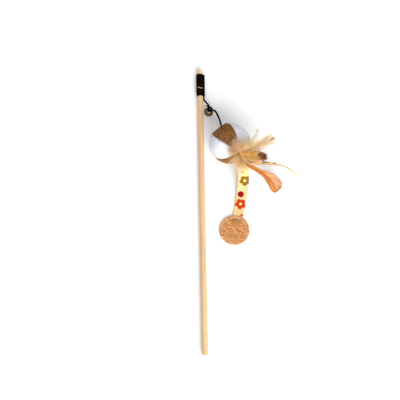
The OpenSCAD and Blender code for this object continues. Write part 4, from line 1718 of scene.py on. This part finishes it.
PLUME = ((0, 0.1), (0.14, 0.4), (0.4, 0.9), (0.6, 1), (0.85, 0.85), (0.95, 0.6), (1, 0))
FEATHERS = (
    Feather("feather_broad", "broad_feather", Dye.BROAD, 0, 0.0196,
            ((0, 0.08), (0.1, 0.14), (0.22, 0.25), (0.42, 0.32), (0.52, 0.38), (0.62, 0.6), (0.74, 0.86),
             (0.86, 1), (0.93, 0.94), (0.965, 0.78), (0.99, 0.5), (1, 0)),
            ((3.9, -9.6, 2.0), (9.0, -18.3, 2.2), (19.1, -24.2, -0.2), (29.5, -28.9, -7.2),
             (35.0, -31.8, -13.2), (39.6, -35.0, -18.7), (43.6, -38.7, -24.2), (46.8, -42.3, -29.2),
             (49.6, -45.8, -33.0)),
            skew=0.0024, barbs=420, lean=30, cup=0.16, wave=0.006, ragged=0.03, seed=21),
    Feather("feather_striped", "striped_feather", Dye.STRIPED, -60, 0.0052,
            ((0, 0.2), (0.15, 0.85), (0.3, 1.1), (0.55, 1), (0.64, 0.6), (0.7, 0.38), (0.97, 0.38), (1, 0)),
            ((4.3, -8.5, 1.7), (9.8, -14.7, 2.7), (20.7, -17.4, 3.5), (33.0, -16.2, 2.2), (46.7, -16.7, -1.8),
             (60.7, -18.2, -8.8), (70.5, -22.1, -14.8), (79.5, -27.2, -22.3)),
            barbs=230, lean=14, wave=0.12, ragged=0.25, seed=22),
    Feather("feather_curled", "curled_feather", Dye.CURLED, -120, 0.0200, PLUME,
            ((7.0, -4.1, 0.2), (15.4, -7.0, 1.6), (23.8, -7.6, 2.9), (30.2, -9.2, 3.8), (35.0, -11.8, 3.9)),
            barbs=150, lean=50, cup=0.15, wave=0.2, ragged=0.28, barb_width=0.00022, fluff=14, seed=23),
    Feather("plume_golden", "golden_feather", Dye.GOLDEN, 60, 0.0230,
            ((0, 0.1), (0.14, 0.5), (0.35, 0.8), (0.7, 0.85), (0.9, 1), (0.96, 0.8), (1, 0)),
            ((7.2, 1.8, 0.7), (17.4, 6.2, 0.8), (28.4, 10.8, 0.5), (36.6, 15.0, 0.2), (44.2, 18.9, 0.0)),
            barbs=60, lean=28, wave=0.42, ragged=0.42, barb_width=0.00012, fluff=26, seed=24),
    Feather("plume_white", "white_feather", Dye.WHITE, 120, 0.0140, PLUME,
            ((6.9, 6.9, -1.3), (12.8, 13.9, -3.3), (17.8, 21.0, -5.8), (21.8, 28.2, -8.8),
             (24.8, 35.5, -12.4)),
            over=True, barbs=44, lean=44, wave=0.5, ragged=0.45, barb_width=0.00010, fluff=12, seed=25),
    Feather("down_tuft", "down", Dye.DOWN, 180, 0.0120, PLUME,
            ((-2.2, 3.1, 3.2), (-4.7, 6.5, 5.4), (-7.4, 10.3, 6.6), (-9.0, 13.0, 6.6)),
            over=True, barbs=70, lean=40, wave=0.4, ragged=0.4, barb_width=0.00011, fluff=14, seed=26),
)


@dataclass(frozen=True)
class Tuft:
    """Loose down that springs from the tie towards one side."""

    name: str
    turn: float
    spread: float
    length: tuple[float, float]
    rise: tuple[float, float]
    count: int
    dye: Dye
    seed: int
    slot: str = "down"
    locks: int = 70

    def build(self) -> None:
        """Make the tuft: each wisp springs out from the pole, rises, droops and curls.

        A wisp is base + length (t out + rise t (1 - 0.7 t) pole + curl sin(2.6 t) t), kept off
        the ball and the floor. Wisps of a lock differ little from each other.
        """
        rng = np.random.default_rng(self.seed)
        n = self.count
        lock = rng.integers(0, self.locks, n)

        def shared(size: int, own: float) -> Array:
            """Normal random numbers that the wisps of a lock share, but for a part of their own."""
            return rng.normal(size=(self.locks, size))[lock] * (1 - own) + rng.normal(size=(n, size)) * own

        turn = np.radians(self.turn + self.spread * 0.75 * shared(1, 0.18)[:, 0])
        out = np.stack([np.cos(turn), np.sin(turn), np.zeros(n)], axis=1) @ LAYOUT.pole
        pole = LAYOUT.pole[2]
        base = LAYOUT.ball_centre + out * 0.0022 + pole * (
            LAYOUT.ball_radius + rng.uniform(0.0012, 0.0037, (n, 1)))
        t = np.linspace(0, 1, 9)[None, :, None]
        low, high = self.length
        length = (low + (high - low) * np.clip(0.5 + 0.34 * shared(1, 0.35), 0, 1))[:, None]
        low, high = self.rise
        rise = (low + (high - low) * np.clip(0.5 + 0.36 * shared(1, 0.2), 0, 1))[:, None]
        curl = unit(shared(3, 0.3))[:, None]
        paths = base[:, None] + length * (
            t * out[:, None] + rise * t * (1 - 0.7 * t) * pole + 0.3 * np.sin(2.6 * t) * t * curl)
        away = paths - LAYOUT.ball_centre
        far = np.linalg.norm(away, axis=-1, keepdims=True)
        paths = LAYOUT.ball_centre + away * np.maximum(far, LAYOUT.ball_radius + 0.0004) / far
        chance = np.clip(0.5 + 0.4 * shared(1, 0.15), 0, 1)
        colour = self.dye.paint(0.3 * t[..., 0], t[..., 0], np.ones((n, 1)), chance)
        patch = fibres(kept_above(paths, 0.0002), 0.00007, 0.65, (0.2, 0.3, 0.93), colour)
        make_piece(self.name, [patch], Finishes.feather, "ball", ())


TUFTS = (
    Tuft("down_over_ball", 205, 65, (0.008, 0.019), (-0.5, 0.3), 1300, Dye.DOWN, 31),
    Tuft("down_white", 135, 40, (0.010, 0.024), (-0.8, 0.0), 620, Dye.WHITE, 32, slot="white_feather"),
    Tuft("down_golden", 45, 60, (0.010, 0.030), (0.2, 1.1), 2200, Dye.GOLDEN, 33, slot="golden_feather"),
    Tuft("down_below", -20, 60, (0.011, 0.027), (0.5, 1.6), 1500, Dye.GOLDEN, 34, slot="golden_feather"),
)


@dataclass
class Tie:
    """The thread that binds the quills at the ball's front pole."""

    radius: float = 0.0030
    height: float = 0.0035
    thread: float = 0.00036
    turns: int = 8

    def coil(self) -> Patch:
        """The wound thread: a helix round the pole, on a spun core.

        Returns:
            The patch.
        """
        lap = np.linspace(0, self.turns, self.turns * 36)
        angle = 2 * pi * lap
        r = self.radius - self.thread
        rise = self.height - 0.0004 - 2 * self.thread
        z = LAYOUT.ball_radius + 0.0002 + self.thread + rise * lap / self.turns
        local = np.stack([r * np.cos(angle), r * np.sin(angle), z], axis=1)
        return plied(LAYOUT.on_ball(local), self.thread, 2, 0.0018, 8, LAYOUT.pole[2])

    def core(self) -> Patch:
        """The quills' bundle inside the thread.

        Returns:
            The patch.
        """
        r = self.radius - 1.6 * self.thread
        low, high = LAYOUT.ball_radius - 0.003, LAYOUT.ball_radius + self.height
        profile = np.array([
            [0.0002, low], [0.0009, low], [0.0009, low + 0.0028], [r, low + 0.0033], [r, high - 0.0006],
            [r - 0.0004, high - 0.0001], [0.0002, high]])
        return spun(profile, LAYOUT.ball_centre, LAYOUT.pole, 32)

    def build(self) -> None:
        """Make the tie."""
        patches = [self.coil(), self.core()]
        make_piece("tie_thread", patches, Finishes.thread, "ball", ("feather_tie",))


@dataclass
class Ribbon:
    """The printed tape from the feathers' tie to the disc."""

    width: float = 0.015
    thickness: float = 0.0005
    inside: float = 0.008
    to_rim: float = 0.0023
    rows: int = 240
    columns: int = 22

    def line(self) -> tuple[Array, Array, Array]:
        """The middle line of the tape and the directions across and out of it.

        Returns:
            The line, the direction across and the one out of the face.
        """
        steps = np.array([
            [49.6, -104.8, 36.9], [51.3, -110.2, 31.6], [52.4, -115.5, 25], [52.8, -120.8, 17.8],
            [52.5, -126.5, 11], [51.8, -132.8, 5.4], [50.8, -139.8, 1.2], [49.6, -147.3, -1.6],
            [48.2, -155, -3.2], [46.8, -162.3, -3.9], [45.5, -168.3, -3.9]]) * MM
        turn = radians(DISC_TURN)
        inward = np.array([np.sin(turn), -np.cos(turn), 0.0])
        end = LAYOUT.flap_pivot + np.array([[0.0], [1.0]]) * (self.to_rim + self.inside) * inward
        points = np.concatenate([[LAYOUT.ribbon_root], LAYOUT.exit_point + steps, end])
        path = smooth_path(points, self.rows, None, inward)
        along = unit(np.gradient(path, axis=0))
        side = unit(np.cross(along, UP))
        return path, side, np.cross(side, along)

    def tape(self) -> Patch:
        """The tape: a thin closed section carried along the middle line.

        Across, its edges lift by a share of the square of the distance from the middle, and it
        ripples slightly along its length. Near the tie it is gathered.

        Returns:
            The patch, whose face corners hold the place across and along the tape.
        """
        path, side, up = self.line()
        far = travelled(path)
        gathered = 0.42 + 0.58 * eased(far, 0.0, 0.013)
        across = np.linspace(-1, 1, self.columns)
        half = self.width / 2 * gathered[:, None]
        free = eased(far, 0.0, 0.02) * (1 - eased(far, 0.075, 0.09))
        ripple = 0.00045 * free[:, None] * np.sin(far[:, None] / 0.0065 + 1.4 * across)
        lift = 0.00035 * across**2 * free[:, None] + ripple * np.abs(across) ** 1.5
        crease = 0.0011 * (1 - eased(far, 0.0, 0.014))[:, None] * np.cos(across * 2.5 * pi)
        middle = path[:, None] + half[..., None] * across[:, None] * side[:, None]
        middle = kept_above(middle + (lift + crease)[..., None] * up[:, None], 0.0006)
        rim = np.sqrt(np.maximum(1 - np.abs(across) ** 14, 0)) * self.thickness / 2 + 0.00004
        face = middle + rim[:, None] * up[:, None]
        back = (middle - rim[:, None] * up[:, None])[:, ::-1]
        patch = shell(np.concatenate([face, back], axis=1), far, np.arange(2 * self.columns + 1, dtype=float))
        column = np.clip(patch.corners[0][..., 1], 0, 2 * self.columns)
        on_face = column <= self.columns - 1
        place_across = np.where(on_face, -self.width / 2 + self.width * column / (self.columns - 1), 0.05)
        patch.corners[0] = np.stack([place_across, patch.corners[0][..., 0]], axis=-1)
        return patch

    def build(self) -> None:
        path, _, _ = self.line()
        piece = make_piece(
            "ribbon_tape", [self.tape()], Finishes.ribbon, "", ("ribbon", "ribbon_tab"))
        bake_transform(piece)


@dataclass
class JuteDisc:
    """The stitched disc: two woven jute faces round a pad."""

    radius: float = 0.0203
    thickness: float = 0.0036
    pitch: float = 0.00105
    stitch_radius: float = 0.0173
    stitches: int = 30
    samples: int = 122
    yarn: float = 0.00047
    crimp: float = 0.00024
    edge_height: float = 0.00098
    crown: float = 0.00020
    drawn_in: float = 0.00052
    drawn_width: float = 0.0012

    @property
    def axes(self) -> Array:
        """Axes of the disc, of which Y points to the ribbon."""
        return tilted(0.0, DISC_TURN)

    def in_frame(self, local: Array) -> Array:
        """Turn places from the disc's middle, in metres along its axes, into places in the frame."""
        return LAYOUT.disc_base + np.array([0, 0, self.thickness / 2]) + local @ self.axes

    def height(self, x: Array, y: Array, front: bool) -> Array:
        """Distance of the weave's middle from the middle of the disc.

        It crowns over the pad, is drawn in at the stitches as a bell curve, and thins at the rim.
        The front rises where the ribbon's end is sewn in.

        Args:
            x: place across.
            y: place towards the ribbon.
            front: whether this is the front face.

        Returns:
            Distances in metres.
        """
        r = np.hypot(x, y)
        crown = self.edge_height + self.crown * np.cos(np.clip(r / self.radius, 0, 1) * pi / 2)
        drawn = self.drawn_in * np.exp(-(((r - self.stitch_radius) / self.drawn_width) ** 2))
        rim = 0.00030 * eased(r, 0.0190, 0.0212)
        over = 0.0
        if front:
            over = 0.00042 * (1 - eased(np.abs(x), 0.006, 0.0090)) * eased(y, 0.0118, 0.0145)
        return crown - drawn - rim + over

    def weave(self, front: bool) -> list[Patch]:
        """One woven face: yarns both ways, each over and under the others.

        A yarn's height is that of the face plus a cosine that turns once in two yarns, with the
        next yarn half a turn out of step.

        Args:
            front: whether this is the front face.

        Returns:
            One patch for each way.
        """
        rng = np.random.default_rng(41 if front else 42)
        count = int(2 * self.radius / self.pitch) + 1
        offset = (np.arange(count) - (count - 1) / 2) * self.pitch
        offset = offset[np.abs(offset) < self.radius - 0.0004]
        n = len(offset)
        reach = np.sqrt(self.radius**2 - offset**2)
        patches = []
        for way in (0, 1):
            start = -reach - rng.uniform(0.0, 0.0006, n)
            end = reach + rng.uniform(0.0, 0.0006, n)
            t = np.linspace(0, 1, self.samples)
            run = start[:, None] * (1 - t) + end[:, None] * t
            wander = 0.00009 * np.sin(run / 0.0047 + rng.uniform(0, 6, (n, 1)))
            cross = offset[:, None] + wander
            x, y = (run, cross) if way == 0 else (cross, run)
            step = np.round(offset / self.pitch)[:, None] + way
            z = self.height(x, y, front) + self.crimp * np.cos(pi * (run / self.pitch + step))
            frayed = eased(np.abs(run) - reach[:, None], 0.0, 0.0006)
            z = (z - 0.0003 * frayed) * (1 if front else -1)
            local = np.stack([x, y, z], axis=-1)
            paths = kept_above(self.in_frame(local), 0.00027)
            thick = self.yarn * (1 + 0.16 * np.sin(run / 0.0021 + rng.uniform(0, 6, (n, 1))))
            thick = thick * (1 - 0.45 * frayed)
            mottled = 1 + 0.34 * lumps(local, 0.0034, 46)
            # The tone holds a painted highlight at the rim and painted shade over the ribbon's end.
            tone = self.tone(x, y, front) * rng.uniform(0.78, 1.15, (n, 1)) * mottled
            yellowing = 1 + np.array([0.0, -0.03, -0.10]) * rng.uniform(0, 1, (n, 1, 1))
            colour = np.clip(painted(220, 161, 106) * yellowing * tone[..., None], 0, 1)
            patches.append(strands(paths, self.axes[1 - way], thick, 0.00025, 5, dye=colour))
        return patches

    def tone(self, x: Array, y: Array, front: bool) -> Array:
        """How light the weave is: a painted highlight at the rim, and painted shade over the ribbon's end and
        in a crease beyond it.

        The painted shade over the ribbon's end is a bell curve of the distance, and that in the
        crease one of the distance from a short line.

        Args:
            x: place across.
            y: place towards the ribbon.
            front: whether this is the front face.

        Returns:
            Factors round 1.
        """
        # Painted highlight on the rim.
        rim = 1 + 0.2 * eased(np.hypot(x, y), 0.0178, 0.0192)
        if not front:
            return rim
        # Painted shade over the bulge of the ribbon's end, and in the crease beyond it.
        bulge_shade = np.exp(-(((x + 0.0002) / 0.0055) ** 2) - ((y - 0.0112) / 0.0028) ** 2)
        along = 0.967 * (x + 0.0038) + 0.253 * (y - 0.0136)
        aside = -0.253 * (x + 0.0038) + 0.967 * (y - 0.0136)
        crease = np.exp(-((aside / 0.00065) ** 2)) * (1 - eased(np.abs(along), 0.0024, 0.0040))
        return rim * (1 - 0.34 * bulge_shade) * (1 - 0.75 * crease)

    def hairs(self, front: bool) -> Patch:
        """Loose fibres on one face and round its rim.

        Args:
            front: whether this is the front face.

        Returns:
            The patch.
        """
        rng = np.random.default_rng(43 if front else 44)
        count = 420 if front else 160
        r = self.radius * np.sqrt(rng.uniform(0.0, 1.0, count))
        r[: count // 3] = self.radius * rng.uniform(0.95, 1.0, count // 3)
        a = rng.uniform(0, 2 * pi, count)
        x, y = r * np.cos(a), r * np.sin(a)
        z = self.height(x, y, front) + 0.0004
        base = np.stack([x, y, z if front else -z], axis=1)
        out = np.stack([np.cos(a), np.sin(a), np.zeros(count)], axis=1)
        lean = unit(rng.normal(size=(count, 3)) * [1, 1, 0.35] + out * 0.8)
        lines = curling(rng, base, lean, rng.uniform(0.0006, 0.0018, (count, 1, 1)), 5)
        paths = kept_above(self.in_frame(lines), 0.00003)
        return fibres(paths, 0.00004, 0.6, (0.3, 0.2, 0.93), painted(220, 172, 118)[None, None])

    def pad(self) -> Patch:
        """The pad between the faces, a spun profile with rounded sides.

        Returns:
            The patch.
        """
        r, half = 0.0195, 0.00062
        a = np.linspace(-pi / 2, pi / 2, 16)
        rim = np.stack([r - half + half * np.cos(a), half * np.sin(a)], axis=1)
        low = np.stack([np.linspace(0.0002, r - half, 24)[:-1], np.full(23, -half)], axis=1)
        high = low[::-1] * [1, -1]
        profile = np.concatenate([low, rim, high])
        return spun(profile, LAYOUT.disc_base + [0, 0, self.thickness / 2], self.axes, 72)

    def stitching(self) -> Patch:
        """The stitches on both faces: arcs that rise out of the weave and dive back into it.

        Returns:
            The patch.
        """
        rng = np.random.default_rng(45)
        step = 2 * pi / self.stitches
        t = np.linspace(0, 1, 14)
        lines = []
        for front in (True, False):
            begin = np.arange(self.stitches) * step + rng.normal(size=self.stitches) * 0.006
            a = begin[:, None] + step * 0.74 * t[None]
            r = self.stitch_radius + rng.normal(size=(self.stitches, 1)) * 0.00012
            r = r + 0.00012 * np.sin(pi * t)[None]
            x, y = r * np.cos(a), r * np.sin(a)
            uneven = rng.normal(size=(self.stitches, 1)) * 0.00010
            proud = 0.00042 + 0.00022 * np.cos(a.mean(axis=1, keepdims=True) - 2.9) + uneven
            rise = self.height(x, y, front) + proud * np.sin(pi * t)[None] ** 0.5 - 0.00010
            lines.append(self.in_frame(np.stack([x, y, rise if front else -rise], axis=-1)))
        paths = kept_above(np.concatenate(lines), 0.00036)
        thick = rng.uniform(0.00034, 0.00050, (len(paths), 1)) * (1 - 0.35 * np.abs(2 * t - 1) ** 6)[None]
        return strands(paths, UP, thick, thick, 8)

    def loose_end(self) -> Patch:
        """The yarn that has come loose at the disc's rim.

        Returns:
            The patch.
        """
        points = np.array([
            [61.6, 170.2, -3.0], [63.6, 168.9, -3.9], [64.9, 167.0, -4.7], [66.0, 165.0, -4.9],
            [67.2, 162.9, -4.9], [68.6, 160.4, -4.8]]) * MM
        return tube(smooth_path(points, 60), 0.00034, 8, UP, painted(214, 188, 176))

    def build(self) -> None:
        """Make the disc's pieces."""
        for front, name in ((True, "front"), (False, "back")):
            patches = [*self.weave(front), self.hairs(front)] + [self.loose_end()] * front
            make_piece(f"jute_{name}", patches, Finishes.jute, "disc", (f"disc_{name}",))
        pad = make_piece("disc_padding", [self.pad()], Finishes.padding, "disc", ("disc_pad",))
        make_piece(
            "disc_stitches", [self.stitching()], Finishes.thread, "disc", ("disc_stitching",))


class Hardware:
    """The solids that keep their own shape and only take a finish."""

    finishes = {
        "rod": Finishes.rod, "bell_top": Finishes.brass, "bell_bottom": Finishes.brass,
        "bell_eye": Finishes.brass, "bell_pea": Finishes.steel,
    }

    def dress(self) -> None:
        """Give each solid its finish."""
        for node, finish in self.finishes.items():
            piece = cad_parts[node]
            piece.data.materials.clear()
            piece.data.materials.append(finish.material())
            log.info("%s keeps its solid", node)


def main() -> None:
    """Build the whole scene in order."""
    logging.basicConfig(level=logging.INFO, format="%(name)s: %(message)s")
    studio = Studio()
    studio.camera()
    Cords().build()
    Binding().build()
    Hardware().dress()
    Ball().build()
    Tie().build()
    for plumage in (*FEATHERS, *TUFTS):
        plumage.build()
    JuteDisc().build()
    Ribbon().build()
    studio.light()
    bpy.context.view_layer.update()


if __name__ == "__main__":
    main()
